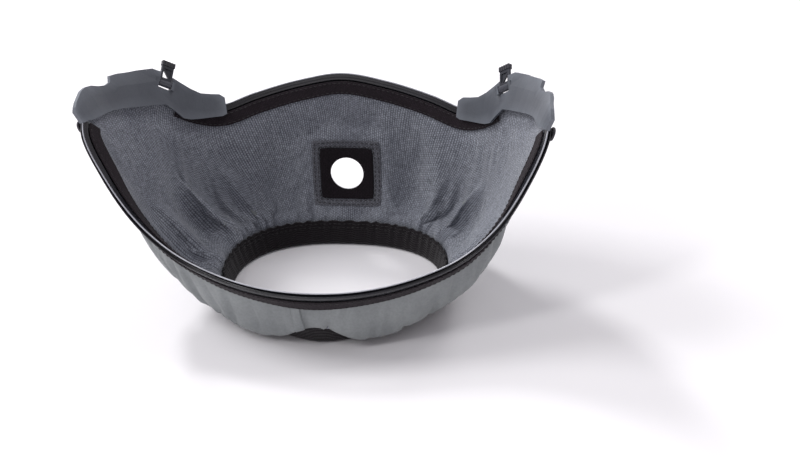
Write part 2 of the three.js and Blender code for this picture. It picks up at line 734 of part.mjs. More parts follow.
// ridged finger grip on the free end of the lever
const gripBody = block(
  onLatch,
  [LATCH_WIDTH + 0.6, GRIP_HEIGHT, GRIP_THICKNESS],
  [0, LATCH_LENGTH + GRIP_GAP + GRIP_HEIGHT / 2, 0],
);
const gripRidges = [];
for (let i = 0; i < GRIP_RIDGES; i += 1) {
  const across = (i - (GRIP_RIDGES - 1) / 2) * GRIP_RIDGE_PITCH;
  for (const face of [-GRIP_THICKNESS / 2, GRIP_THICKNESS / 2]) {
    const middle = [across, LATCH_LENGTH + GRIP_HEIGHT / 2, face];
    gripRidges.push(block(onLatch, [0.8, GRIP_HEIGHT + 1, 0.5], middle));
  }
}
addPair('latch_grip', cut(gripBody, gripRidges), GRIP_DARK);

// put the origin on the floor under the middle of the part
const box = new THREE.Box3().setFromObject(hood);
const middle = box.getCenter(vec(0, 0, 0));
hood.children.forEach((mesh) => mesh.geometry.translate(-middle.x, -middle.y, -box.min.z));

export default hood;
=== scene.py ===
"""Looks of the hood skirt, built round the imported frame.

Everything is in the frame's own axes. The hood's lines are worked out in millimetres, with the
same driving dimensions as the solids, and turned into metres when a mesh is made.
"""
import math

import bmesh
import bpy
import numpy as np
from mathutils import Matrix, Vector


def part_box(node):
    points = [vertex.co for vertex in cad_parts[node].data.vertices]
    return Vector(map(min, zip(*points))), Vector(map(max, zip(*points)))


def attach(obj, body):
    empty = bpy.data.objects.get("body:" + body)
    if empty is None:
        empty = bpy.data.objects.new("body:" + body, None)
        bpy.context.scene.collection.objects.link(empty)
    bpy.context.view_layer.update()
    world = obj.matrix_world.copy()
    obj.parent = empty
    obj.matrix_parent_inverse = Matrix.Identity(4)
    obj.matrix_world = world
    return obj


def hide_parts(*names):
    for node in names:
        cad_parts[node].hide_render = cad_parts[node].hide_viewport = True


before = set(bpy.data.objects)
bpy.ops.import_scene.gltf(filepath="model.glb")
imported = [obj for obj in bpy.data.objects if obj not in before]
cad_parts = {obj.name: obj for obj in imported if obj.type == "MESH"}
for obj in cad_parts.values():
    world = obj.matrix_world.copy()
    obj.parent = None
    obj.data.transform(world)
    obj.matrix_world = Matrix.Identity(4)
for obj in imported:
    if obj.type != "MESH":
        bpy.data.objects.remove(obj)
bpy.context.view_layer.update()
HOOD = "hood"

# ------------------------------------------------------------------ driving dimensions, mm

CORNER_X = 50
CORNER_Y = -15
CORNER_RADIUS = 93.2
CORNER_LEAN = 0.42
CORNER_TOP = [
    (-12, 154.5), (0, 154.3), (8, 152.6), (16, 149), (26, 145.7), (34, 142), (42, 137),
    (48, 131.5), (54, 123), (60, 115), (66, 109.5), (74, 105.5), (80, 104),
]
SKIRT_OFFSET = 4.6
TAPE_OFFSET = 1.55
TAPE_THICKNESS = 0.8
TAPE_TOP = 5.6
TAPE_END = 14.4
SKIRT_TOP = 8
SKIRT_RISE = 6.5
BEHIND_FRONT = (6.5, 6.72)
BEHIND_REAR = (9.5, 10.0)
SKIRT_STRAIGHT_END = 14

NECK_HALF_WIDTH = 68.5
NECK_HALF_DEPTH = 49
NECK_CENTRE_Y = 5
NECK_REAR_SQUARENESS = 2.4
NECK_FRONT_SQUARENESS = 2
NECK_PINCH_DEPTH = 4
NECK_PINCH_WIDTH = 20
NECK_HEIGHT = 17
NECK_FLARE = 0.26
NECK_THICKNESS = 6.4
NECK_SKIRT_LINE = 3.8
NECK_SKIRT_END = 4
NECK_TOP_CLEAR = 18

PORT_HEIGHT = 47
PORT_HOLE_RADIUS = 11.4
PORT_PAD_WIDTH = 36.6
PORT_FRAME_WIDTH = 47.5

FABRIC = 0.55
LAYER_MIDDLE = 0.45

# the solids' origin lies under the middle of the box, and this is how far that is from the lines' own
NECK_REAR = NECK_CENTRE_Y + NECK_HALF_DEPTH + NECK_THICKNESS + NECK_FLARE * NECK_HEIGHT
SHIFT_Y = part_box("neck_binding")[1][1] - NECK_REAR / 1000

HANG_SHARE = [(0, 0.1), (5, 0.1), (8, 0.22), (11, 0.28), (15, 0.28)]
SAG_SHARE = [(0, 0.2), (3, 0.3), (5, 0.25), (7, 0.1), (9, 0)]
BELLY = [(0, 5), (1, 8), (3, 14), (5, 10), (8, 3), (15, 3)]
BELLY_OUT_SHARE = 0.14
BELLY_UP_SHARE = 0.26


# ------------------------------------------------------------------ small helpers

def look_up(stations, position):
    """Straight-line reading from (position, value) stations."""
    places, values = zip(*stations)
    return np.interp(position, places, values)


def unit(vectors):
    return vectors / np.maximum(np.linalg.norm(vectors, axis=-1, keepdims=True), 1e-12)


def dot(a, b):
    return np.sum(a * b, axis=-1, keepdims=True)


def running_length(line):
    """Length along a row of points, up to each of them."""
    return np.concatenate([[0], np.cumsum(np.linalg.norm(np.diff(line, axis=0), axis=1))])


def smooth(low, high, value):
    """0 below low, 1 above high, and a smooth rise between."""
    share = np.clip((value - low) / (high - low), 0, 1)
    return share * share * (3 - 2 * share)


def metres(points):
    """Points on the hood's lines, in mm, as points in the frame, in metres."""
    return np.asarray(points, float) / 1000 + np.array([0, SHIFT_Y, 0])


# ------------------------------------------------------------------ hood lines

def corner_axes(angle):
    a = math.radians(angle)
    outward = unit(np.array([math.cos(a), math.sin(a), -CORNER_LEAN]))
    rearward = np.array([-math.sin(a), math.cos(a), 0.0])
    return outward, rearward, np.cross(outward, rearward)


def corner_point(angle, z, offset):
    a = math.radians(angle)
    radius = CORNER_RADIUS - CORNER_LEAN * (look_up(CORNER_TOP, angle) - z)
    base = np.array([CORNER_X + radius * math.cos(a), CORNER_Y + radius * math.sin(a), z])
    return base + corner_axes(angle)[0] * offset


def neck_pinch(x):
    """How far the front of the neck band is drawn forwards at a distance from its middle."""
    return NECK_PINCH_DEPTH * np.exp(-((x / NECK_PINCH_WIDTH) ** 2))


def neck_point(angle, outset, z):
    """Point round the neck band at an angle in degrees, outset from its inner face."""
    a = np.radians(angle)
    sine, cosine = np.sin(a), np.cos(a)
    share = 2 / np.where(sine > 0, NECK_REAR_SQUARENESS, NECK_FRONT_SQUARENESS)
    x = (NECK_HALF_WIDTH + outset + NECK_FLARE * z) * np.sign(cosine) * np.abs(cosine) ** share
    y = (NECK_HALF_DEPTH + outset + NECK_FLARE * z) * np.sign(sine) * np.abs(sine) ** share
    pinch = np.where(sine < 0, neck_pinch(x), 0)
    return np.stack([x, NECK_CENTRE_Y + y - pinch, z + 0 * x], axis=-1)


# half of the rim from the front centre to the rear centre: top point, neck angle, corner angle
def on_corner(angle, z, neck):
    return corner_point(angle, z, SKIRT_OFFSET), neck, angle


def free(x, y, z, neck):
    return np.array([x, y, z], float), neck, None


HALF_RIM = [
    free(0, -70, 49, -90), free(31, -67.5, 50, -70), free(61, -60, 54, -53), free(90, -50, 63, -39),
    free(113, -42, 81, -29), free(131, -34.5, 108, -20), free(142.5, -25, 133, -12),
    on_corner(4, 144, -2), on_corner(22, 139.5, 9), on_corner(38, 131.5, 22),
    on_corner(50, 118, 33), on_corner(61, 105.5, 44), on_corner(70, 100.5, 54),
    free(60, 81, 104.5, 66), free(30, 85, 112.5, 78), free(0, 86, 117.5, 90),
]
REAR = len(HALF_RIM) - 1
HOOP = 2 * REAR
MIRROR = np.array([-1.0, 1.0, 1.0])
TANGENT_STEP = 0.003
RIM_RUNS = {"front": (-6.5, 6.5), "rear": (REAR - 4.8, REAR + 4.8)}


def from_front(place):
    """Stations from the front centre, the shorter way round the hoop."""
    station = np.mod(place, HOOP)
    return np.minimum(station, HOOP - station)


def closed_curve(points, place):
    """Centripetal Catmull-Rom curve through a closed row of points; place counts in points."""
    count = len(points)
    place = np.mod(np.asarray(place, float), count)
    index = np.floor(place).astype(int)
    w = (place - index)[..., None]
    p0, p1, p2, p3 = (points[(index + k) % count] for k in (-1, 0, 1, 2))
    pairs = ((p0, p1), (p1, p2), (p2, p3))
    gaps = [np.sqrt(np.linalg.norm(b - a, axis=-1, keepdims=True)) for a, b in pairs]
    g0, g1, g2 = (np.where(g < 1e-4, 1.0, g) for g in gaps)
    t1 = ((p1 - p0) / g0 - (p2 - p0) / (g0 + g1) + (p2 - p1) / g1) * g1
    t2 = ((p2 - p1) / g1 - (p3 - p1) / (g1 + g2) + (p3 - p2) / g2) * g1
    return p1 + t1 * w + (3 * (p2 - p1) - 2 * t1 - t2) * w**2 + (2 * (p1 - p2) + t1 + t2) * w**3


def hoop_stations():
    """Rim points, neck points and the strip's hanging direction at every station round the hoop."""
    rims, necks, corners = [], [], []
    for i in range(HOOP):
        mirrored = i > REAR
        rim, neck, corner = HALF_RIM[HOOP - i if mirrored else i]
        side = MIRROR if mirrored else np.ones(3)
        rims.append(rim * side)
        necks.append(neck_point(neck, NECK_SKIRT_LINE, NECK_TOP_CLEAR) * side)
        corners.append((corner, side))
    rims, necks = np.array(rims), np.array(necks)
    hangs = []
    for i, (corner, side) in enumerate(corners):
        if corner is not None:
            hangs.append(-corner_axes(corner)[2] * side)
            continue
        tangent = unit(closed_curve(rims, i + TANGENT_STEP) - closed_curve(rims, i - TANGENT_STEP))
        towards = necks[i] - rims[i]
        hangs.append(unit(towards - tangent * dot(towards, tangent)))
    return rims, necks, np.array(hangs)


RIMS, NECKS, HANGS = hoop_stations()


def rim_frame(place):
    place = np.asarray(place, float)
    origin = closed_curve(RIMS, place)
    ahead, behind = closed_curve(RIMS, place + TANGENT_STEP), closed_curve(RIMS, place - TANGENT_STEP)
    tangent = unit(ahead - behind)
    down = closed_curve(HANGS, place)
    down = unit(down - tangent * dot(down, tangent))
    return origin, down, unit(np.cross(down, tangent))


def rim_point(place, out, down):
    origin, hang, outward = rim_frame(place)
    return origin + hang * np.asarray(down)[..., None] + outward * np.asarray(out)[..., None]


TAPE_SHARE = 1 / 8
BAND_SHARE = 7 / 8


def neck_outward(end):
    outward = end * [1 / NECK_HALF_WIDTH, 1 / NECK_HALF_DEPTH, 0] - [0, NECK_CENTRE_Y / NECK_HALF_DEPTH, 0]
    return unit(outward)


def plain_hang(place, share):
    """The cloth between the rim strip and the neck band where it hangs straight in."""
    origin, down, _ = rim_frame(place)
    start = origin + down * SKIRT_STRAIGHT_END
    end = closed_curve(NECKS, place)
    up = np.array([0.0, 0.0, 1.0])
    span = np.linalg.norm(start - end, axis=-1, keepdims=True)
    station = from_front(place)
    belly_out = look_up(BELLY, station)[..., None] + BELLY_OUT_SHARE * span
    belly = end + neck_outward(end) * belly_out + up * (1 + BELLY_UP_SHARE * span)
    hang = start + down * look_up(HANG_SHARE, station)[..., None] * span
    hang = hang - up * look_up(SAG_SHARE, station)[..., None] * span
    s = share[..., None]
    return start * (1 - s)**3 + 3 * hang * s * (1 - s)**2 + 3 * belly * s**2 * (1 - s) + end * s**3


def through(knots, points, share):
    """Smooth curve through one point per knot, read at a share from the first knot to the last."""
    last = len(knots) - 1
    slopes = [
        (points[min(k + 1, last)] - points[max(k - 1, 0)]) / (knots[min(k + 1, last)] - knots[max(k - 1, 0)])
        for k in range(last + 1)
    ]
    result = points[0]
    for k in range(last):
        width = knots[k + 1] - knots[k]
        t = np.clip((share - knots[k]) / width, 0, 1)[..., None]
        piece = (2 * t**3 - 3 * t**2 + 1) * points[k] + (t**3 - 2 * t**2 + t) * width * slopes[k]
        piece = piece + (3 * t**2 - 2 * t**3) * points[k + 1] + (t**3 - t**2) * width * slopes[k + 1]
        result = np.where((share >= knots[k])[..., None], piece, result)
    return result


# the cloth droops over the front of the neck band: by station, the lowest point of each line
DROOP_LOW = {
    0: (0, -62, 21), 1: (28, -60, 11), 2: (49, -50, 12), 3: (71, -32, 14.5), 4: (88, -28, 26),
    5: (100, -17, 37), 29: (-27, -57.5, 9.5), 28: (-50, -51.5, 11), 27: (-72, -40, 15),
    26: (-92, -28, 25), 25: (-110, -14, 41),
}
DROOP_KNOTS = [0, 0.313, 0.607, 0.82, 0.94, 1]
DROOP_SWELL = 2.5
DROOP_FULL = 4.3
DROOP_NONE = 6.1
BAND_CLEAR = 8.8
BAND_CLEAR_LOW = 12
BAND_REACH = 19
BAND_CREST = (5.8, 20.8)


def droop_rows():
    """For every knot, its point at each station round the hoop."""
    stations = np.arange(HOOP, dtype=float)
    rows = [plain_hang(stations, np.full(HOOP, knot)) for knot in DROOP_KNOTS]
    for i, low in DROOP_LOW.items():
        low = np.array(low, float)
        mirrored = i > REAR
        neck = HALF_RIM[HOOP - i if mirrored else i][1]
        side = MIRROR if mirrored else np.ones(3)
        outward = unit(low * [1, 1, 0] - [0, NECK_CENTRE_Y, 0])
        rows[1][i] = (rows[0][i] + low) / 2 + outward * DROOP_SWELL
        rows[2][i] = low
        rows[4][i] = neck_point(neck, *BAND_CREST) * side
        if low[2] < BAND_REACH:
            beside = max(BAND_CLEAR_LOW, low[2] + 2)
            rows[3][i] = neck_point(neck, BAND_CLEAR, beside) * side
        else:
            rows[3][i] = low * 0.4 + rows[4][i] * 0.6
    return rows


DROOP_ROWS = droop_rows()


def skirt_base(place, height):
    """Skirt surface; place counts stations round the hoop, height runs from 0 at the top to 1."""
    place, height = np.broadcast_arrays(np.asarray(place, float), np.asarray(height, float))
    origin, down, _ = rim_frame(place)
    end = closed_curve(NECKS, place)
    share = np.clip((height - TAPE_SHARE) / (BAND_SHARE - TAPE_SHARE), 0, 1)
    station = from_front(place)
    droop = 1 - smooth(DROOP_FULL, DROOP_NONE, station)[..., None]
    hanging = plain_hang(place, share)
    if np.any(droop > 0):
        knots = [closed_curve(row, place) for row in DROOP_ROWS]
        hanging = hanging * (1 - droop) + through(DROOP_KNOTS, knots, share) * droop
    in_tape = np.clip(height / TAPE_SHARE, 0, 1)[..., None]
    behind = smooth(*BEHIND_FRONT, station) * (1 - smooth(*BEHIND_REAR, station))
    top = (SKIRT_TOP - SKIRT_RISE * behind)[..., None]
    tape = origin + down * (top + (SKIRT_STRAIGHT_END - top) * in_tape)
    in_band = np.clip((height - BAND_SHARE) / (1 - BAND_SHARE), 0, 1)[..., None]
    band_up = neck_outward(end) * NECK_FLARE + [0, 0, 1]
    band = end - band_up * in_band * (NECK_TOP_CLEAR - NECK_SKIRT_END)
    level = height[..., None]
    return np.where(level < TAPE_SHARE, tape, np.where(level > BAND_SHARE, band, hanging))


def skirt_outward(place, height):
    place, height = np.broadcast_arrays(np.asarray(place, float), np.asarray(height, float))
    across = skirt_base(place + 0.1, height) - skirt_base(place - 0.1, height)
    low, high = np.clip(height - 0.02, 0, 1), np.clip(height + 0.02, 0, 1)
    return unit(np.cross(skirt_base(place, high) - skirt_base(place, low), across))


def skirt_point(place, height, offset):
    return skirt_base(place, height) + skirt_outward(place, height) * offset


# ------------------------------------------------------------------ mesh helpers

def new_object(name, points, faces, uv=None, body=HOOD):
    """A mesh object from points in mm on the hood's lines; uv gives each point's place in metres."""
    mesh = bpy.data.meshes.new(name)
    mesh.from_pydata([tuple(p) for p in metres(points)], [], faces)
    if uv is not None:
        layer = mesh.uv_layers.new(name="UVMap")
        for loop in mesh.loops:
            layer.data[loop.index].uv = uv[loop.vertex_index]
    obj = bpy.data.objects.new(name, mesh)
    bpy.context.scene.collection.objects.link(obj)
    for polygon in mesh.polygons:
        polygon.use_smooth = True
    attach(obj, body)
    return obj


def grid_faces(columns, rows, ring):
    """Quads between neighbouring points of a columns x rows grid."""
    faces = []
    for i in range(columns if ring else columns - 1):
        for j in range(rows - 1):
            here, beside = i * rows + j, ((i + 1) % columns) * rows + j
            faces.append((here, here + 1, beside + 1, beside))
    return faces


def grid_lengths(points, ring):
    """Running length across and down a grid of points, in metres."""
    across = np.linalg.norm(np.diff(points, axis=0), axis=-1).mean(axis=1)
    down = np.linalg.norm(np.diff(points, axis=1), axis=-1)
    u = np.concatenate([[0], np.cumsum(across)])[:, None] * np.ones(points.shape[1])
    v = np.concatenate([np.zeros((points.shape[0], 1)), np.cumsum(down, axis=1)], axis=1)
    return np.stack([u, v], axis=-1) / 1000


def add_modifier(obj, name, kind, **values):
    modifier = obj.modifiers.new(name, kind)
    for key, value in values.items():
        setattr(modifier, key, value)
    return modifier


def thicken(obj, thickness):
    return add_modifier(obj, "thickness", "SOLIDIFY", thickness=thickness / 1000, offset=0)


def ease_edges(obj, name, width, angle):
    """Rounds the edges sharper than an angle in radians; width is in mm."""
    add_modifier(obj, name, "BEVEL", width=width / 1000, segments=2, limit_method="ANGLE", angle_limit=angle)


def paint(obj, material):
    obj.data.materials.clear()
    obj.data.materials.append(material)


STITCH_LENGTH = 2.2
STITCH_GAP = 1.1
STITCH_RADIUS = 0.28
STITCH_RINGS = (-0.5, -0.32, 0.0, 0.32, 0.5)
STITCH_SIDES = 6


def stitches(name, line, normals, closed=False):
    """One object of small thread stitches laid along a line of points in mm, sunk half into the cloth."""
    line, normals = np.asarray(line, float), np.asarray(normals, float)
    if closed:
        line, normals = np.vstack([line, line[:1]]), np.vstack([normals, normals[:1]])
    run = running_length(line)

    def read(rows, distance):
        return np.array([np.interp(distance, run, rows[:, a]) for a in range(3)])

    count = max(int(run[-1] // (STITCH_LENGTH + STITCH_GAP)), 1)
    pitch = run[-1] / count
    points, faces = [], []
    for k in range(count):
        middle = (k + 0.5) * pitch
        at = read(line, middle)
        normal = unit(read(normals, middle))
        along = unit(read(line, middle + STITCH_LENGTH / 2) - read(line, middle - STITCH_LENGTH / 2))
        side = np.cross(normal, along)
        first = len(points)
        for ring in STITCH_RINGS:
            bulge = STITCH_RADIUS * math.sqrt(max(1 - (2 * ring) ** 2, 0.0)) + 0.02
            arch = STITCH_RADIUS * 0.5 * (1 - (2 * ring) ** 2)
            for s in range(STITCH_SIDES):
                turn = 2 * math.pi * s / STITCH_SIDES
                rim = side * math.cos(turn) * bulge + normal * (math.sin(turn) * bulge + arch)
                points.append(at + along * ring * STITCH_LENGTH + rim)
        for r in range(len(STITCH_RINGS) - 1):
            for s in range(STITCH_SIDES):
                a, b = first + r * STITCH_SIDES + s, first + r * STITCH_SIDES + (s + 1) % STITCH_SIDES
                faces.append((a, b, b + STITCH_SIDES, a + STITCH_SIDES))
        last = first + (len(STITCH_RINGS) - 1) * STITCH_SIDES
        faces.append(tuple(first + s for s in reversed(range(STITCH_SIDES))))
        faces.append(tuple(last + s for s in range(STITCH_SIDES)))
    obj = new_object(name, points, faces)
    paint(obj, DARK_THREAD)


# ------------------------------------------------------------------ materials

class Shader:
    """A small helper to write a node material line by line."""

    def __init__(self, name, **sockets):
        self.material = bpy.data.materials.new(name)
        self.material.use_nodes = True
        self.nodes = self.material.node_tree.nodes
        self.links = self.material.node_tree.links
        self.principled = self.nodes["Principled BSDF"]
        for key, value in sockets.items():
            self.principled.inputs[key.replace("_", " ")].default_value = value

    def node(self, kind, values=None, **attributes):
        made = self.nodes.new(kind)
        for key, value in attributes.items():
            setattr(made, key, value)
        for key, value in (values or {}).items():
            if hasattr(value, "is_output"):
                self.links.new(value, made.inputs[key])
            else:
                made.inputs[key].default_value = value
        return made

    def math(self, operation, a, b=0.0):
        return self.node("ShaderNodeMath", {0: a, 1: b}, operation=operation).outputs[0]

    def place(self, kind="Object"):
        return self.node("ShaderNodeTexCoord").outputs[kind]

    def noise(self, scale, detail=3.0, vector=None, roughness=0.55):
        values = {"Scale": scale, "Detail": detail, "Roughness": roughness}
        values["Vector"] = vector if vector is not None else self.place()
        return self.node("ShaderNodeTexNoise", values).outputs["Fac"]

    def uv_parts(self):
        """The mesh's own lengths, across and down, in metres."""
        return self.node("ShaderNodeSeparateXYZ", {0: self.place("UV")}).outputs

    def flecks(self, scale, detail):
        """Noise stretched along the mesh's own lengths."""
        stretched = self.node("ShaderNodeMapping", {"Vector": self.place("UV"), "Scale": scale})
        return self.noise(1.0, detail, stretched.outputs[0])

    def wave(self, length, pitch):
        return self.math("SINE", self.math("MULTIPLY", length, 2 * math.pi / pitch))

    def ramp(self, factor, low, high, start=0.0, end=1.0):
        made = self.node("ShaderNodeValToRGB", {"Fac": factor})
        made.color_ramp.elements[0].position = start
        made.color_ramp.elements[1].position = end
        made.color_ramp.elements[0].color = (*low, 1)
        made.color_ramp.elements[1].color = (*high, 1)
        return made.outputs["Color"]

    def mix(self, factor, a, b, blend="MIX"):
        made = self.node("ShaderNodeMix", data_type="RGBA", blend_type=blend)
        for index, value in ((0, factor), (6, a), (7, b)):
            if hasattr(value, "is_output"):
                self.links.new(value, made.inputs[index])
            else:
                made.inputs[index].default_value = value if index == 0 else (*value, 1)
        return made.outputs[2]

    def times(self, a, b):
        return self.mix(1.0, a, b, "MULTIPLY")

    def range(self, factor, low, high):
        made = self.node("ShaderNodeMapRange", {"Value": factor, "To Min": low, "To Max": high})
        return made.outputs["Result"]

    def colour(self, value):
        self.links.new(value, self.principled.inputs["Base Color"])

    def roughness(self, value):
        self.links.new(value, self.principled.inputs["Roughness"])

    def bump(self, height, strength, distance):
        """Adds a bump; distance is in metres."""
        made = self.node("ShaderNodeBump", {"Height": height, "Strength": strength, "Distance": distance})
        old = self.principled.inputs["Normal"].links
        if old:
            self.links.new(old[0].from_socket, made.inputs["Normal"])
        self.links.new(made.outputs["Normal"], self.principled.inputs["Normal"])


def srgb(red, green, blue):
    """A colour from 0-255 screen values, as linear light."""
    shares = [value / 255 for value in (red, green, blue)]
    return tuple(v / 12.92 if v < 0.04045 else ((v + 0.055) / 1.055) ** 2.4 for v in shares)


def weave_height(shader, across_pitch, down_pitch, across_weight=0.5):
    """Plain weave from the mesh's own lengths, 0 in the gaps and 1 on the threads."""
    parts = shader.uv_parts()
    wobble = shader.noise(900.0, 2.0)
    u = shader.math("ADD", shader.math("MULTIPLY", parts[0], math.pi / across_pitch), wobble)
    v = shader.math("ADD", shader.math("MULTIPLY", parts[1], math.pi / down_pitch), wobble)
    warp = shader.math("ABSOLUTE", shader.math("SINE", u))
    weft = shader.math("ABSOLUTE", shader.math("SINE", v))
    checker = shader.math("MULTIPLY", shader.math("SINE", u), shader.math("SINE", v))
    warp_part = shader.math("MULTIPLY", warp, across_weight)
    weft_part = shader.math("MULTIPLY", weft, 1 - across_weight)
    both = shader.math("ADD", warp_part, weft_part)
    return shader.math("ADD", shader.math("MULTIPLY", both, 0.75), shader.math("MULTIPLY", checker, 0.25))


SLUB_SCALE = (900.0, 260.0, 1.0)
PICK_SCALE = (240.0, 1000.0, 1.0)


def woven(name, dark, light, across_pitch, down_pitch, bump=0.5, weight=0.65, roughness=0.9, sheen=0.25):
    """Woven cloth with uneven tone, flecks drawn out down it and others drawn out across it."""
    shader = Shader(
        name, Roughness=roughness, Sheen_Weight=sheen, Sheen_Roughness=0.5, Specular_IOR_Level=0.25,
    )
    threads = weave_height(shader, across_pitch, down_pitch, weight)
    cloth = shader.ramp(threads, dark, light, 0.1, 0.8)
    patches = shader.ramp(shader.noise(38.0, 4.0), (0.84, 0.84, 0.86), (1.12, 1.12, 1.11), 0.3, 0.72)
    slubs = shader.ramp(shader.flecks(SLUB_SCALE, 2.0), (0.72, 0.72, 0.73), (1.3, 1.3, 1.29), 0.3, 0.7)
    picks = shader.ramp(shader.flecks(PICK_SCALE, 2.0), (0.8, 0.8, 0.81), (1.2, 1.2, 1.19), 0.3, 0.7)
    for tone in (patches, slubs, picks):
        cloth = shader.times(cloth, tone)
    shader.colour(cloth)
    shader.bump(threads, bump, 0.0004)
    shader.bump(shader.noise(160.0, 4.0), 0.25, 0.0008)
    return shader.material


def coated(name):
    shader = Shader(name, Specular_IOR_Level=0.4, Sheen_Weight=0.1)
    parts = shader.uv_parts()
    grain = shader.math("MULTIPLY", shader.wave(parts[0], 0.0009), shader.wave(parts[1], 0.0009))
    base = shader.ramp(shader.noise(22.0, 5.0), srgb(121, 125, 127), srgb(144, 148, 149), 0.3, 0.7)
    dust = shader.ramp(shader.noise(600.0, 2.0), (0.94, 0.94, 0.94), (1.05, 1.05, 1.05), 0.35, 0.65)
    shader.colour(shader.times(base, dust))
    shader.roughness(shader.range(shader.noise(60.0, 3.0), 0.5, 0.7))
    shader.bump(grain, 0.12, 0.00015)
    shader.bump(shader.noise(95.0, 4.0), 0.2, 0.0008)
    return shader.material


def ribbed_elastic(name):
    shader = Shader(name, Roughness=0.95, Sheen_Weight=0.15, Sheen_Roughness=0.6, Specular_IOR_Level=0.15)
    parts = shader.uv_parts()
    ribs, beads = shader.wave(parts[1], 0.0016), shader.wave(parts[0], 0.0011)
    height = shader.math("ADD", shader.math("MULTIPLY", ribs, 0.7), shader.math("MULTIPLY", beads, 0.3))
    base = shader.ramp(height, srgb(10, 4, 9), srgb(21, 11, 19), 0.0, 1.0)
    lint = shader.ramp(shader.noise(260.0, 5.0), (0.85, 0.82, 0.86), (1.25, 1.2, 1.22), 0.4, 0.75)
    shader.colour(shader.times(base, lint))
    shader.bump(height, 0.6, 0.0004)
    shader.bump(shader.noise(500.0, 3.0), 0.3, 0.0003)
    return shader.material


def moulded(name, dark, light, rough_low, rough_high, grain=0.25, scale=1400.0):
    """Moulded plastic: spark-eroded grain, faint flow marks and paler rubbed edges."""
    shader = Shader(name, Specular_IOR_Level=0.45)
    flow = shader.noise(14.0, 5.0)
    base = shader.ramp(flow, dark, light, 0.32, 0.7)
    speckle = shader.ramp(shader.noise(scale, 2.0), (0.93, 0.93, 0.93), (1.07, 1.07, 1.07), 0.3, 0.7)
    base = shader.times(base, speckle)
    edges = shader.node("ShaderNodeNewGeometry").outputs["Pointiness"]
    worn = shader.node("ShaderNodeMapRange", {"Value": edges, "From Min": 0.53, "From Max": 0.6})
    rubbed = shader.math("MULTIPLY", worn.outputs["Result"], shader.range(shader.noise(90.0, 3.0), 0.1, 0.7))
    shader.colour(shader.mix(rubbed, base, tuple(min(c * 1.9 + 0.02, 1) for c in light)))
    shader.roughness(shader.range(shader.noise(70.0, 4.0), rough_low, rough_high))
    shader.bump(shader.noise(scale, 2.0), grain, 0.0002)
    return shader.material


def blackened_steel(name):
    shader = Shader(name, Metallic=1.0)
    base = shader.ramp(shader.noise(300.0, 4.0), srgb(70, 70, 74), srgb(105, 105, 110), 0.35, 0.7)
    shader.colour(base)
    shader.roughness(shader.range(shader.noise(500.0, 3.0), 0.32, 0.5))
    shader.bump(shader.noise(1200.0, 2.0), 0.15, 0.0001)
    return shader.material


def thread(name, dark, light):
    shader = Shader(name, Roughness=0.8, Sheen_Weight=0.2)
    twist = shader.noise(2600.0, 2.0)
    shader.colour(shader.ramp(twist, dark, light, 0.3, 0.7))
    shader.bump(twist, 0.5, 0.0002)
    return shader.material


def pale_floor(name):
    shader = Shader(name, Roughness=0.9, Specular_IOR_Level=0.1)
    tone = shader.ramp(shader.noise(4.0, 3.0), (0.85, 0.835, 0.86), (0.87, 0.855, 0.875), 0.3, 0.7)
    shader.colour(tone)
    return shader.material


LINING = woven("woven_lining", srgb(72, 74, 81), srgb(152, 156, 166), 0.00125, 0.00085, 0.55, 0.7)
SHELL = coated("coated_shell")
ELASTIC = ribbed_elastic("ribbed_elastic")
TAPE = woven("rim_tape", srgb(16, 11, 15), srgb(40, 31, 38), 0.0011, 0.0008, 0.6, 0.5, 0.85, 0.08)
PATCH = woven("patch_cloth", srgb(56, 57, 62), srgb(112, 113, 121), 0.0011, 0.0009, 0.6, 0.55)
PAD = woven("port_pad_cloth", srgb(10, 5, 9), srgb(25, 17, 24), 0.0012, 0.0012, 0.5, 0.5, 0.9, 0.05)
DARK_THREAD = thread("dark_thread", srgb(13, 9, 13), srgb(32, 26, 31))
BRACKET = moulded("bracket_plastic", srgb(78, 81, 88), srgb(93, 97, 104), 0.42, 0.58)
BACKING = moulded("backing_plastic", srgb(24, 22, 27), srgb(38, 36, 42), 0.4, 0.55)
LEVER = moulded("latch_plastic", srgb(40, 41, 47), srgb(58, 60, 68), 0.2, 0.34, 0.12)
GRIP = moulded("grip_plastic", srgb(24, 24, 28), srgb(40, 40, 46), 0.3, 0.5, 0.4, 900.0)
STEEL = blackened_steel("dark_steel")


# ------------------------------------------------------------------ hard pieces from the frame

HARD_FINISHES = {
    "bracket": BRACKET, "backing_plate": BACKING, "rim_tab": BACKING,
    "latch_lever": LEVER, "latch_grip": GRIP, "latch_pin": STEEL, "screw": STEEL,
}
BEVELS = {
    "bracket": 0.35, "backing_plate": 0.3, "rim_tab": 0.3,
    "latch_lever": 0.16, "latch_grip": 0.16, "screw": 0.15,
}
BEVEL_ANGLE = math.radians(38)
HARD_SMOOTH_DEGREES = 32
STRIP_SMOOTH_DEGREES = 50
CLOTH_EDGE_ANGLE = 0.8


def finish_hard_nodes():
    for name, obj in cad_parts.items():
        keys = [key for key in HARD_FINISHES if key in name]
        if not keys:
            continue
        key = "screw" if "screw" in name else keys[0]
        paint(obj, HARD_FINISHES[key])
        if key in BEVELS:
            ease_edges(obj, "edges", BEVELS[key], BEVEL_ANGLE)
        smooth_by_angle(obj, HARD_SMOOTH_DEGREES)


def smooth_by_angle(obj, degrees):
    with bpy.context.temp_override(object=obj, selected_editable_objects=[obj], active_object=obj):
        bpy.ops.object.shade_smooth_by_angle(angle=math.radians(degrees))


finish_hard_nodes()


# ------------------------------------------------------------------ skirt

COLUMNS = 330
TAPE_ROWS = 3
HANG_ROWS = 32
BAND_ROWS = 3


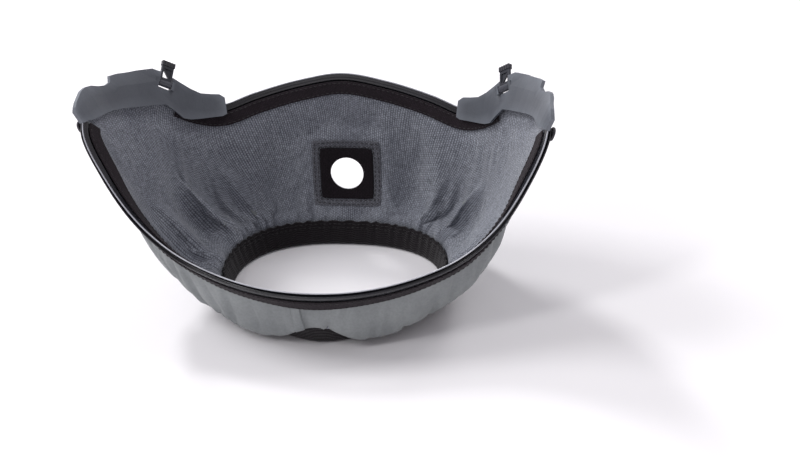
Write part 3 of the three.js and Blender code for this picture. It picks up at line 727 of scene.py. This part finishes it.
def skirt_heights():
    top = np.linspace(0, TAPE_SHARE, TAPE_ROWS, endpoint=False)
    middle = np.linspace(TAPE_SHARE, BAND_SHARE, HANG_ROWS, endpoint=False)
    low = np.linspace(BAND_SHARE, 1, BAND_ROWS + 1)
    return np.concatenate([top, middle, low])


# soft folds: station, half width in stations, depth in mm (outwards +), from height, to height
FOLDS = [
    (24.0, 0.9, 4.0, 0.3, 0.9), (22.7, 0.45, -4.5, 0.45, 0.95), (21.8, 0.5, 6.0, 0.45, 0.9),
    (20.9, 0.4, -7.0, 0.45, 0.95), (20.0, 0.6, 5.5, 0.3, 0.9), (18.6, 0.6, -5.0, 0.2, 0.95),
    (17.3, 0.5, 4.0, 0.3, 0.9), (16.4, 0.3, -2.5, 0.55, 0.95), (13.7, 0.3, -3.5, 0.5, 0.95),
    (12.9, 0.5, 5.0, 0.25, 0.9), (12.0, 0.4, -6.5, 0.35, 0.95), (11.1, 0.5, 5.5, 0.4, 0.9),
    (10.2, 0.4, -6.5, 0.45, 0.95), (9.2, 0.6, 4.5, 0.5, 0.9), (8.1, 0.45, -3.5, 0.55, 0.95),
]
GATHER_COUNT = 38
GATHER_DEPTH = 1.25
MOST_SETTLING = 7.0
MOST_DROOP_SETTLING = 2.5
FLOOR_CLEAR = 1.4
BAND_OUTSIDE = NECK_THICKNESS + 1.1
# folds fade in over PORT_FLAT mm from the port's middle; a point within PORT_REACH mm of its plane is near it
PORT_FLAT = (20, 34)
PORT_REACH = 15
# stations between which the cloth is held farther down, behind a bracket
BRACKET_FRONT = (6.3, 7.2)
BRACKET_REAR = (12.6, 13.4)
SETTLING_FRAMES = 26
CLOTH_GROWTH = 0.045
CLOTH_SETTINGS = {
    "quality": 6, "mass": 0.25, "tension_stiffness": 18, "compression_stiffness": 12,
    "shear_stiffness": 6, "bending_stiffness": 0.35, "air_damping": 3, "vertex_group_mass": "held",
    "pin_stiffness": 1.2, "shrink_min": -CLOTH_GROWTH, "shrink_max": -CLOTH_GROWTH,
}


def fold_offset(place, height):
    """Soft folds and the gathers above the neck band, in mm."""
    offset = np.zeros(np.broadcast(place, height).shape)
    for at, half_width, depth, start, end in FOLDS:
        away = np.mod(place - at + HOOP / 2, HOOP) - HOOP / 2
        window = smooth(start, (start + end) / 2, height) * (1 - smooth((start + 2 * end) / 3, end, height))
        offset = offset + depth * np.exp(-((away / half_width) ** 2)) * window
    turn = 2 * np.pi * place / HOOP
    uneven = turn + 0.07 * np.sin(3 * turn + 0.6) + 0.05 * np.sin(7 * turn + 2.0) + 0.03 * np.sin(13 * turn)
    strength = 1.0 + 0.45 * np.sin(2 * turn + 0.9) + 0.3 * np.sin(5 * turn + 0.4)
    pleat = np.sin(GATHER_COUNT * uneven) + 0.4 * np.sin(0.5 * GATHER_COUNT * uneven + 1.1)
    near_band = smooth(0.48, 0.84, height) * (1 - smooth(0.86, 0.9, height))
    free_cloth = 0.35 + 0.65 * smooth(DROOP_FULL, DROOP_NONE, from_front(place))
    return offset + GATHER_DEPTH * strength * pleat * near_band * free_cloth


def port_frame_axes():
    """Middle of the air port on the skirt, its outward and upward directions and its height share."""
    low, high = TAPE_SHARE, BAND_SHARE
    for _ in range(40):
        middle = (low + high) / 2
        if skirt_base(REAR, middle)[2] > PORT_HEIGHT:
            low = middle
        else:
            high = middle
    outward = skirt_outward(REAR, low)
    up = np.cross(outward, [1.0, 0.0, 0.0])
    return skirt_base(REAR, low), outward, up if up[2] > 0 else -up, low


PORT_MIDDLE, PORT_OUT, PORT_UP, PORT_SHARE = port_frame_axes()


def port_place(across, up):
    """Skirt place and height at a distance across and up from the middle of the air port."""
    across, up = np.broadcast_arrays(np.asarray(across, float), np.asarray(up, float))
    target = PORT_MIDDLE + across[..., None] * [1.0, 0.0, 0.0] + up[..., None] * PORT_UP
    place = np.full(across.shape, float(REAR))
    height = np.full(across.shape, PORT_SHARE)
    for _ in range(12):
        miss = target - skirt_base(place, height)
        sideways = (skirt_base(place + 0.1, height) - skirt_base(place - 0.1, height)) / 0.2
        downwards = (skirt_base(place, height + 0.01) - skirt_base(place, height - 0.01)) / 0.02
        place = place + (dot(miss, sideways) / dot(sideways, sideways))[..., 0]
        height = height + (dot(miss, downwards) / dot(downwards, downwards))[..., 0]
    return place, height


def port_away(points):
    """How far points lie from the middle of the air port, across and up, in mm."""
    away = points - PORT_MIDDLE
    near = np.abs(away @ PORT_OUT) < PORT_REACH
    return np.where(near, away[..., 0], 1e3), np.where(near, away @ PORT_UP, 1e3)


def simulate(obj, pins):
    """Lets the cloth settle under its weight, held where pins are 1, and returns where its points come to
    rest.
    """
    group = obj.vertex_groups.new(name="held")
    for weight in np.unique(np.round(pins, 2)):
        if weight > 0:
            group.add([int(i) for i in np.where(np.round(pins, 2) == weight)[0]], float(weight), "REPLACE")
    cloth = obj.modifiers.new("settle", "CLOTH")
    for key, value in CLOTH_SETTINGS.items():
        setattr(cloth.settings, key, value)
    cloth.collision_settings.use_self_collision = False
    cloth.collision_settings.use_collision = False
    cloth.point_cache.frame_start = 1
    cloth.point_cache.frame_end = SETTLING_FRAMES
    scene = bpy.context.scene
    for step in range(1, SETTLING_FRAMES + 1):
        scene.frame_set(step)
    settled = obj.evaluated_get(bpy.context.evaluated_depsgraph_get())
    coordinates = np.empty(len(obj.data.vertices) * 3)
    settled.data.vertices.foreach_get("co", coordinates)
    obj.modifiers.remove(cloth)
    obj.vertex_groups.remove(group)
    scene.frame_set(1)
    return coordinates.reshape(-1, 3)


def skirt_rest():
    """The skirt's grid with its folds laid in, in mm, and how firmly each point is held."""
    heights = skirt_heights()
    place, height = np.meshgrid(np.arange(COLUMNS) * HOOP / COLUMNS, heights, indexing="ij")
    base = skirt_base(place, height)
    across, up = port_away(base)
    patch = smooth(*PORT_FLAT, np.maximum(np.abs(across), np.abs(up)))
    folds = fold_offset(place, height) * patch
    points = base + skirt_outward(place, height) * folds[..., None]
    station = from_front(place)
    corner = smooth(*BRACKET_FRONT, station) * (1 - smooth(*BRACKET_REAR, station))
    held_top = 1 - smooth(TAPE_SHARE, TAPE_SHARE + 0.05 + 0.22 * corner, height)
    held_low = smooth(BAND_SHARE - 0.05, BAND_SHARE, height)
    held = np.maximum(np.maximum(held_top, held_low), (1 - patch))
    return points, held, grid_lengths(base, True)


def settle_skirt(points, held, most):
    """Lets the skirt settle, no point moving farther than its own limit."""
    rows = points.shape[1]
    shape = new_object("settling", points.reshape(-1, 3), grid_faces(COLUMNS, rows, True))
    moved = simulate(shape, held.reshape(-1))
    bpy.data.objects.remove(shape)
    moved = (moved - [0, SHIFT_Y, 0]) * 1000
    step = moved.reshape(points.shape) - points
    size = np.linalg.norm(step, axis=-1, keepdims=True)
    return points + step * np.minimum(1, most[..., None] / np.maximum(size, 1e-9))


def keep_clear(points, height):
    """Lifts the cloth off the floor and off the outer face of the neck band."""
    points = points.copy()
    points[..., 2] = np.maximum(points[..., 2], FLOOR_CLEAR)
    z = points[..., 2]
    plan = points - [0, NECK_CENTRE_Y, 0]
    squareness = np.where(plan[..., 1] > 0, NECK_REAR_SQUARENESS, NECK_FRONT_SQUARENESS)
    wide = NECK_HALF_WIDTH + BAND_OUTSIDE + NECK_FLARE * z
    pinch = np.where(plan[..., 1] < 0, neck_pinch(plan[..., 0]), 0)
    deep = NECK_HALF_DEPTH + BAND_OUTSIDE + NECK_FLARE * z + pinch
    sideways, lengthways = np.abs(plan[..., 0] / wide), np.abs(plan[..., 1] / deep)
    reach = (sideways ** squareness + lengthways ** squareness) ** (1 / squareness)
    beside = (z < NECK_HEIGHT + 0.6) & (height < BAND_SHARE - 0.02) & (reach < 1)
    grow = np.where(beside, 1 / np.maximum(reach, 0.5), 1)
    points[..., 0] = plan[..., 0] * grow
    points[..., 1] = plan[..., 1] * grow + NECK_CENTRE_Y
    return points


def grid_outward(points):
    """Outward direction at each point of a ring grid."""
    across = np.roll(points, -1, axis=0) - np.roll(points, 1, axis=0)
    down = np.gradient(points, axis=1)
    return unit(np.cross(down, across))


def cut_port(obj, radius):
    """Opens the air port: faces inside the circle go, and the rim's points move onto it."""
    mesh = bmesh.new()
    mesh.from_mesh(obj.data)
    points = (np.array([tuple(v.co) for v in mesh.verts]) - [0, SHIFT_Y, 0]) * 1000
    across, up = port_away(points)
    distance = np.hypot(across, up)
    mesh.verts.ensure_lookup_table()
    doomed = [f for f in mesh.faces if np.mean([distance[v.index] for v in f.verts]) < radius]
    edge = {v.index for f in doomed for v in f.verts if any(g not in doomed for g in v.link_faces)}
    for i in edge:
        shift = (radius / distance[i] - 1) * (across[i] * np.array([1.0, 0, 0]) + up[i] * PORT_UP)
        mesh.verts[i].co += Vector(shift / 1000)
    bmesh.ops.delete(mesh, geom=doomed, context="FACES")
    mesh.to_mesh(obj.data)
    mesh.free()


def make_skirt():
    points, held, lengths = skirt_rest()
    heights = np.broadcast_to(skirt_heights(), points.shape[:2])
    place = np.arange(COLUMNS)[:, None] * HOOP / COLUMNS
    droop = 1 - smooth(DROOP_FULL, DROOP_NONE, from_front(place))
    most = MOST_SETTLING + (MOST_DROOP_SETTLING - MOST_SETTLING) * droop * np.ones(points.shape[:2])
    settled = keep_clear(settle_skirt(points, held, most), heights)
    outward = grid_outward(settled)
    faces = grid_faces(COLUMNS, points.shape[1], True)
    uv = lengths.reshape(-1, 2)
    whole = hoop_length(lengths)
    layers = []
    for name, offset, material, node, slot in (
        ("hood_lining", -LAYER_MIDDLE, LINING, "skirt_lining", "woven_lining"),
        ("hood_shell", LAYER_MIDDLE, SHELL, "skirt_shell", "coated_shell"),
    ):
        obj = new_object(name, (settled + outward * offset).reshape(-1, 3), faces, uv)
        close_uv(obj, whole)
        cut_port(obj, PORT_HOLE_RADIUS + 0.3)
        thicken(obj, FABRIC)
        paint(obj, material)
        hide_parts(node)
        layers.append(obj)
    return settled, layers


def hoop_length(lengths):
    """Full length round the hoop, for the faces that close the ring."""
    return float(lengths[-1, 0, 0] + lengths[1, 0, 0])


def close_uv(obj, whole):
    """Carries the lengths on past the last column, on the faces that close the ring."""
    layer = obj.data.uv_layers[0]
    for polygon in obj.data.polygons:
        across = [layer.data[i].uv[0] for i in polygon.loop_indices]
        if max(across) - min(across) > whole / 2:
            for i in polygon.loop_indices:
                if layer.data[i].uv[0] < whole / 2:
                    layer.data[i].uv[0] += whole


SETTLED, (LINING_OBJ, SHELL_OBJ) = make_skirt()


# ------------------------------------------------------------------ rim tapes

TAPE_STEPS = {"front": 170, "rear": 120}
TAPE_ROWS_DOWN = 9
TAPE_STITCH_INSETS = (1.3, 1.2)


def make_tape(name, node, start, end, near, steps):
    """A woven strip along the rim, a little thicker in its middle than at its selvedges."""
    places = np.linspace(start, end, steps)
    downs = np.linspace(TAPE_TOP, TAPE_END, TAPE_ROWS_DOWN)
    place, down = np.meshgrid(places, downs, indexing="ij")
    side = np.sign(near)
    middle = near + side * TAPE_THICKNESS / 2
    edge = np.abs((down - TAPE_TOP) / (TAPE_END - TAPE_TOP) - 0.5) * 2
    crown = 0.18 * (1 - edge**4) + 0.05 * np.sin(place * 41)
    points = rim_point(place, middle + side * crown, down)
    lengths = grid_lengths(points, False)
    faces = grid_faces(steps, TAPE_ROWS_DOWN, False)
    obj = new_object(name, points.reshape(-1, 3), faces, lengths.reshape(-1, 2))
    thicken(obj, TAPE_THICKNESS * 0.8)
    ease_edges(obj, "selvedge", 0.18, CLOTH_EDGE_ANGLE)
    paint(obj, TAPE)
    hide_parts(node)
    outs = middle + side * (TAPE_THICKNESS * 0.42 + 0.12)
    fine = np.linspace(start, end, steps * 3)
    for row, down in enumerate((TAPE_TOP + TAPE_STITCH_INSETS[0], TAPE_END - TAPE_STITCH_INSETS[1])):
        line = rim_point(fine, np.full(fine.shape, outs), np.full(fine.shape, down))
        stitches(f"{name}_stitches_{row + 1}", line, rim_frame(fine)[2] * side)


def make_tapes():
    for part, steps in TAPE_STEPS.items():
        for face, near in (("inner", -TAPE_OFFSET), ("outer", TAPE_OFFSET)):
            name, node = f"{part}_tape_{face}", f"{part}_rim_tape_{face}"
            make_tape(name, node, *RIM_RUNS[part], near, steps)


make_tapes()


# ------------------------------------------------------------------ rim channels

# open-topped channel: bead on the inner lip, slot, lower outer lip, rib and stem
CHANNEL_OUTLINE = [
    (-1.75, 0.5), (-1.3, 0), (-0.8, 0.3), (-0.7, 3.2), (0.7, 3.2), (0.8, 0.9), (1.75, 1.1),
    (1.75, 4.6), (0.5, 5.1), (0.5, 7.4), (-0.5, 7.4), (-0.5, 5.1), (-1.75, 4.6), (-1.35, 2.6),
]
CORNER_CUT = 0.16
# where the painted highlight line runs round the strip's outline, and its half width, in metres
BEAD_HIGHLIGHT_V = 0.0008
BEAD_HIGHLIGHT_HALF_V = 0.0006


def eased(outline, cut):
    """The outline with every corner turned into two points, cut back from it."""
    points = np.array(outline, float)
    made = []
    for here, before, after in zip(points, np.roll(points, 1, axis=0), np.roll(points, -1, axis=0)):
        for other in (before, after):
            reach = np.linalg.norm(other - here)
            made.append(here + (other - here) / reach * min(cut, 0.3 * reach))
    return np.array(made)


def channel_plastic():
    """Glossy dark strip with a painted highlight: a light satin line coloured along the bead, standing in for
    the light it catches.
    """
    shader = Shader("rim_plastic", Specular_IOR_Level=0.5, Coat_Weight=0.25, Coat_Roughness=0.15)
    parts = shader.uv_parts()
    body = shader.ramp(shader.noise(16.0, 5.0), srgb(15, 14, 19), srgb(30, 30, 37), 0.3, 0.7)
    drawn = shader.flecks((60.0, 3000.0, 1.0), 3.0)
    # painted highlight: the bead's band of the outline is coloured light, a little uneven along its length
    bead_highlight_strength = shader.math("ADD", 0.75, shader.math("MULTIPLY", shader.noise(120.0, 3.0), 0.4))
    compare = {0: parts[1], 1: BEAD_HIGHLIGHT_V, 2: BEAD_HIGHLIGHT_HALF_V}
    bead = shader.node("ShaderNodeMath", compare, operation="COMPARE").outputs[0]
    bead_highlight_colour = shader.ramp(drawn, srgb(150, 152, 160), srgb(205, 206, 214), 0.3, 0.7)
    shader.colour(shader.mix(shader.math("MULTIPLY", bead, bead_highlight_strength), body, bead_highlight_colour))
    shader.roughness(shader.range(drawn, 0.18, 0.36))
    shader.bump(drawn, 0.1, 0.0001)
    return shader.material


def make_channel(part, start, end, steps):
    outline = eased(CHANNEL_OUTLINE, CORNER_CUT)
    around = running_length(outline)
    places = np.linspace(start, end, steps)
    lines = [rim_point(places, np.full(steps, out), np.full(steps, down)) for out, down in outline]
    points = np.stack(lines, axis=1)
    along = running_length(points[:, 0])
    count = len(outline)
    faces = []
    for i in range(steps - 1):
        for j in range(count):
            a, b = i * count + j, i * count + (j + 1) % count
            faces.append((a, b, b + count, a + count))
    faces.append(tuple(reversed(range(count))))
    faces.append(tuple((steps - 1) * count + j for j in range(count)))
    uv = np.stack(np.broadcast_arrays(along[:, None], around[None, :]), axis=-1).reshape(-1, 2) / 1000
    obj = new_object(f"{part}_rim_strip", points.reshape(-1, 3), faces, uv)
    mesh = bmesh.new()
    mesh.from_mesh(obj.data)
    bmesh.ops.recalc_face_normals(mesh, faces=mesh.faces)
    mesh.to_mesh(obj.data)
    mesh.free()
    smooth_by_angle(obj, STRIP_SMOOTH_DEGREES)
    paint(obj, CHANNEL)
    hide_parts(f"{part}_rim_channel")


CHANNEL = channel_plastic()
make_channel("front", *RIM_RUNS["front"], 300)
make_channel("rear", *RIM_RUNS["rear"], 200)


# ------------------------------------------------------------------ neck band

BAND_COLUMNS = 300
BAND_CLOTH = 1.0
FOLD_TOP = 2.6
FOLD_DROP = 2.1
BAND_STITCH_DEPTHS = (1.8, 4.2)


def band_section():
    """Outline of the folded binding as (outset, z) points, from the inner top edge round to the outer."""
    inner = [(0.5 * BAND_CLOTH, z) for z in np.linspace(NECK_HEIGHT, FOLD_TOP, 10)]
    fold_radius = NECK_THICKNESS / 2 - 0.5 * BAND_CLOTH
    fold = []
    for turn in np.linspace(math.pi, 2 * math.pi, 9):
        outset = NECK_THICKNESS / 2 + fold_radius * math.cos(turn)
        fold.append((outset, FOLD_TOP + FOLD_DROP * math.sin(turn)))
    outer = [(NECK_THICKNESS - 0.5 * BAND_CLOTH, z) for z in np.linspace(FOLD_TOP, NECK_HEIGHT, 10)]
    return inner + fold[1:-1] + outer


def make_neck_band():
    section = band_section()
    angles = np.arange(BAND_COLUMNS) * 360 / BAND_COLUMNS
    turn = np.radians(angles)
    puckers = np.sin(61 * turn + 0.8 * np.sin(5 * turn)) + 0.5 * np.sin(97 * turn + 1.0)
    points = np.zeros((BAND_COLUMNS, len(section), 3))
    for j, (outset, z) in enumerate(section):
        lift = smooth(3, NECK_HEIGHT, z)
        ripple = 0.28 * puckers * (0.25 + 0.75 * lift) * (1 if outset < NECK_THICKNESS / 2 else -1)
        height = z + 0.35 * puckers * lift
        points[:, j] = neck_point(angles, outset + ripple, height)
    lengths = grid_lengths(points, True)
    faces = grid_faces(BAND_COLUMNS, len(section), True)
    obj = new_object("neck_band", points.reshape(-1, 3), faces, lengths.reshape(-1, 2))
    close_uv(obj, hoop_length(lengths))
    thicken(obj, 0.9)
    paint(obj, ELASTIC)
    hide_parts("neck_binding", "neck_elastic")
    for row, depth in enumerate(BAND_STITCH_DEPTHS):
        z = NECK_HEIGHT - depth
        line = neck_point(angles, -0.02, z)
        inward = unit(neck_point(angles, -1, z) - neck_point(angles, 0, z))
        stitches(f"neck_stitches_{row + 1}", line, inward, closed=True)


make_neck_band()


# ------------------------------------------------------------------ air port patch

PATCH_OUT = -(LAYER_MIDDLE + FABRIC / 2) - 0.45


PATCH_COLUMNS = 96
PATCH_RINGS = 9


def square_patch(name, width, inner, window, offset, thickness, material, node):
    """A square of cloth on the skirt round the air port, with a square window or a round hole."""
    across, up = ring_patch(width, inner, window)
    place, height = port_place(across, up)
    puff = 0.22 * np.sin(np.pi * np.linspace(0, 1, PATCH_RINGS)) ** 0.5
    base = skirt_point(place, height, offset)
    base = base - skirt_outward(place, height) * puff[None, :, None]
    uv = np.stack([across, up], axis=-1) / 1000
    faces = grid_faces(PATCH_COLUMNS, PATCH_RINGS, True)
    obj = new_object(name, base.reshape(-1, 3), faces, uv.reshape(-1, 2))
    thicken(obj, thickness)
    ease_edges(obj, "turned_edge", 0.2, CLOTH_EDGE_ANGLE)
    paint(obj, material)
    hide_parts(node)
    return obj


def square_turn(count):
    """Angles round a square, and the reach of a unit square's side at each."""
    turn = 2 * np.pi * np.arange(count) / count
    return turn, np.maximum(np.abs(np.cos(turn)), np.abs(np.sin(turn)))


def ring_patch(width, inner, window):
    """Points from an inner circle or square window out to a square outline: one ring of columns."""
    turn, outline = square_turn(PATCH_COLUMNS)
    rounding = 1 - 0.025 * np.abs(np.sin(2 * turn)) ** 40
    outer = width / 2 / outline * rounding
    near = inner / outline if window else np.full(PATCH_COLUMNS, inner)
    share = np.linspace(0, 1, PATCH_RINGS)[None, :]
    radius = near[:, None] * (1 - share) + outer[:, None] * share
    return radius * np.cos(turn)[:, None], radius * np.sin(turn)[:, None]


def square_line(half, count=160, rounding=0.04):
    """A square outline with rounded corners, as across and up distances."""
    turn, outline = square_turn(count)
    radius = half / outline * (1 - rounding * np.abs(np.sin(2 * turn)) ** 8)
    return radius * np.cos(turn), radius * np.sin(turn)


def make_port():
    frame_cloth = square_patch(
        "port_patch", PORT_FRAME_WIDTH, (PORT_PAD_WIDTH + 0.8) / 2, True, PATCH_OUT, 0.7, PATCH,
        "port_frame",
    )
    pad = square_patch(
        "port_backing", PORT_PAD_WIDTH, PORT_HOLE_RADIUS, False, PATCH_OUT - 0.25, 1.1, PAD,
        "port_pad",
    )
    for row, half in enumerate((PORT_FRAME_WIDTH / 2 - 1.3, PORT_PAD_WIDTH / 2 + 1.5)):
        across, up = square_line(half)
        place, height = port_place(across, up)
        inward = -skirt_outward(place, height)
        line = skirt_point(place, height, PATCH_OUT - 0.52)
        stitches(f"port_stitches_{row + 1}", line, inward, closed=True)


make_port()


# ------------------------------------------------------------------ front seam tape

SEAM_PLACE = -0.36
SEAM_HALF = 0.09
SEAM_HEIGHTS = (0.12, 0.84)


def make_seam_tape():
    columns, rows = 7, 30
    column = np.linspace(SEAM_PLACE - SEAM_HALF, SEAM_PLACE + SEAM_HALF, columns)
    row = np.linspace(*SEAM_HEIGHTS, rows)
    place, height = np.meshgrid(column, row, indexing="ij")
    index = np.mod(place, HOOP) * COLUMNS / HOOP
    points = grid_reading(SETTLED, index, height)
    outward = unit(grid_reading(grid_outward(SETTLED), index, height))
    points = points + outward * (LAYER_MIDDLE + FABRIC / 2 + 0.45)
    lengths = grid_lengths(points, False)
    faces = grid_faces(columns, rows, False)
    obj = new_object("front_seam", points.reshape(-1, 3), faces, lengths.reshape(-1, 2))
    thicken(obj, 0.5)
    paint(obj, SHELL)
    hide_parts("front_seam_tape")


def grid_reading(grid, index, height):
    """Points read from the settled skirt's grid at a column index and a height share."""
    heights = skirt_heights()
    row = np.interp(height, heights, np.arange(len(heights)))
    i0, j0 = np.floor(index).astype(int), np.minimum(np.floor(row).astype(int), len(heights) - 2)
    a, b = (index - i0)[..., None], (row - j0)[..., None]
    i1 = (i0 + 1) % COLUMNS
    i0 = i0 % COLUMNS
    top = grid[i0, j0] * (1 - a) + grid[i1, j0] * a
    low = grid[i0, j0 + 1] * (1 - a) + grid[i1, j0 + 1] * a
    return top * (1 - b) + low * b


make_seam_tape()


# ------------------------------------------------------------------ floor, lights and camera

def make_floor():
    mesh = bpy.data.meshes.new("floor")
    half = 4.0
    corners = [(-half, -half, 0), (half, -half, 0), (half, half, 0), (-half, half, 0)]
    mesh.from_pydata(corners, [], [(0, 1, 2, 3)])
    floor = bpy.data.objects.new("floor", mesh)
    floor.location = (0, 0, -0.0003)
    bpy.context.scene.collection.objects.link(floor)
    paint(floor, pale_floor("pale_floor"))


LIGHT_DISTANCE = 3.0
LIGHT_AIM = Vector((0, 0, 0.05))
# name, direction from the hood, width and depth in m, power in W
LIGHTS = [
    ("key_rear_left", (-0.58, 0.75, 1.0), 0.4, 0.9, 40),
    ("key_left", (-0.85, 0.12, 1.0), 1.1, 1.1, 38),
    ("key_front_left", (-0.73, -0.6, 1.0), 0.4, 1.1, 19),
    ("fill_rear_right", (0.6, 0.4, 1.0), 0.9, 0.7, 21),
]
WORLD_COLOUR = (0.985, 0.955, 1.0, 1)
WORLD_STRENGTH = 0.44


def area_light(name, direction, width, depth, power):
    data = bpy.data.lights.new(name, "AREA")
    data.shape = "RECTANGLE"
    data.size = width
    data.size_y = depth
    data.energy = power
    light = bpy.data.objects.new(name, data)
    towards = Vector(direction).normalized()
    light.location = towards * LIGHT_DISTANCE + LIGHT_AIM
    light.rotation_euler = (-towards).to_track_quat("-Z", "Y").to_matrix().to_euler()
    bpy.context.scene.collection.objects.link(light)


def make_lights():
    world = bpy.data.worlds.new("studio")
    world.use_nodes = True
    background = world.node_tree.nodes["Background"]
    background.inputs["Color"].default_value = WORLD_COLOUR
    background.inputs["Strength"].default_value = WORLD_STRENGTH
    bpy.context.scene.world = world
    for light in LIGHTS:
        area_light(*light)
    bpy.context.scene.view_settings.view_transform = "Standard"


CAMERA_RIGHT = Vector((0.98881, 0.13586, -0.06167))
CAMERA_UP = Vector((-0.02592, 0.56347, 0.82573))
CAMERA_PLACE = (0.1922, -0.8099 + SHIFT_Y, 0.6034)


def make_camera():
    """Camera in front, above and a little to the right, about 1 m away."""
    data = bpy.data.cameras.new("camera")
    data.lens = 70
    data.sensor_width = 36
    data.clip_end = 20
    camera = bpy.data.objects.new("camera", data)
    turn = Matrix((CAMERA_RIGHT, CAMERA_UP, CAMERA_RIGHT.cross(CAMERA_UP))).transposed()
    camera.matrix_world = Matrix.Translation(CAMERA_PLACE) @ turn.to_4x4()
    bpy.context.scene.collection.objects.link(camera)
    bpy.context.scene.camera = camera


make_floor()
make_lights()
make_camera()
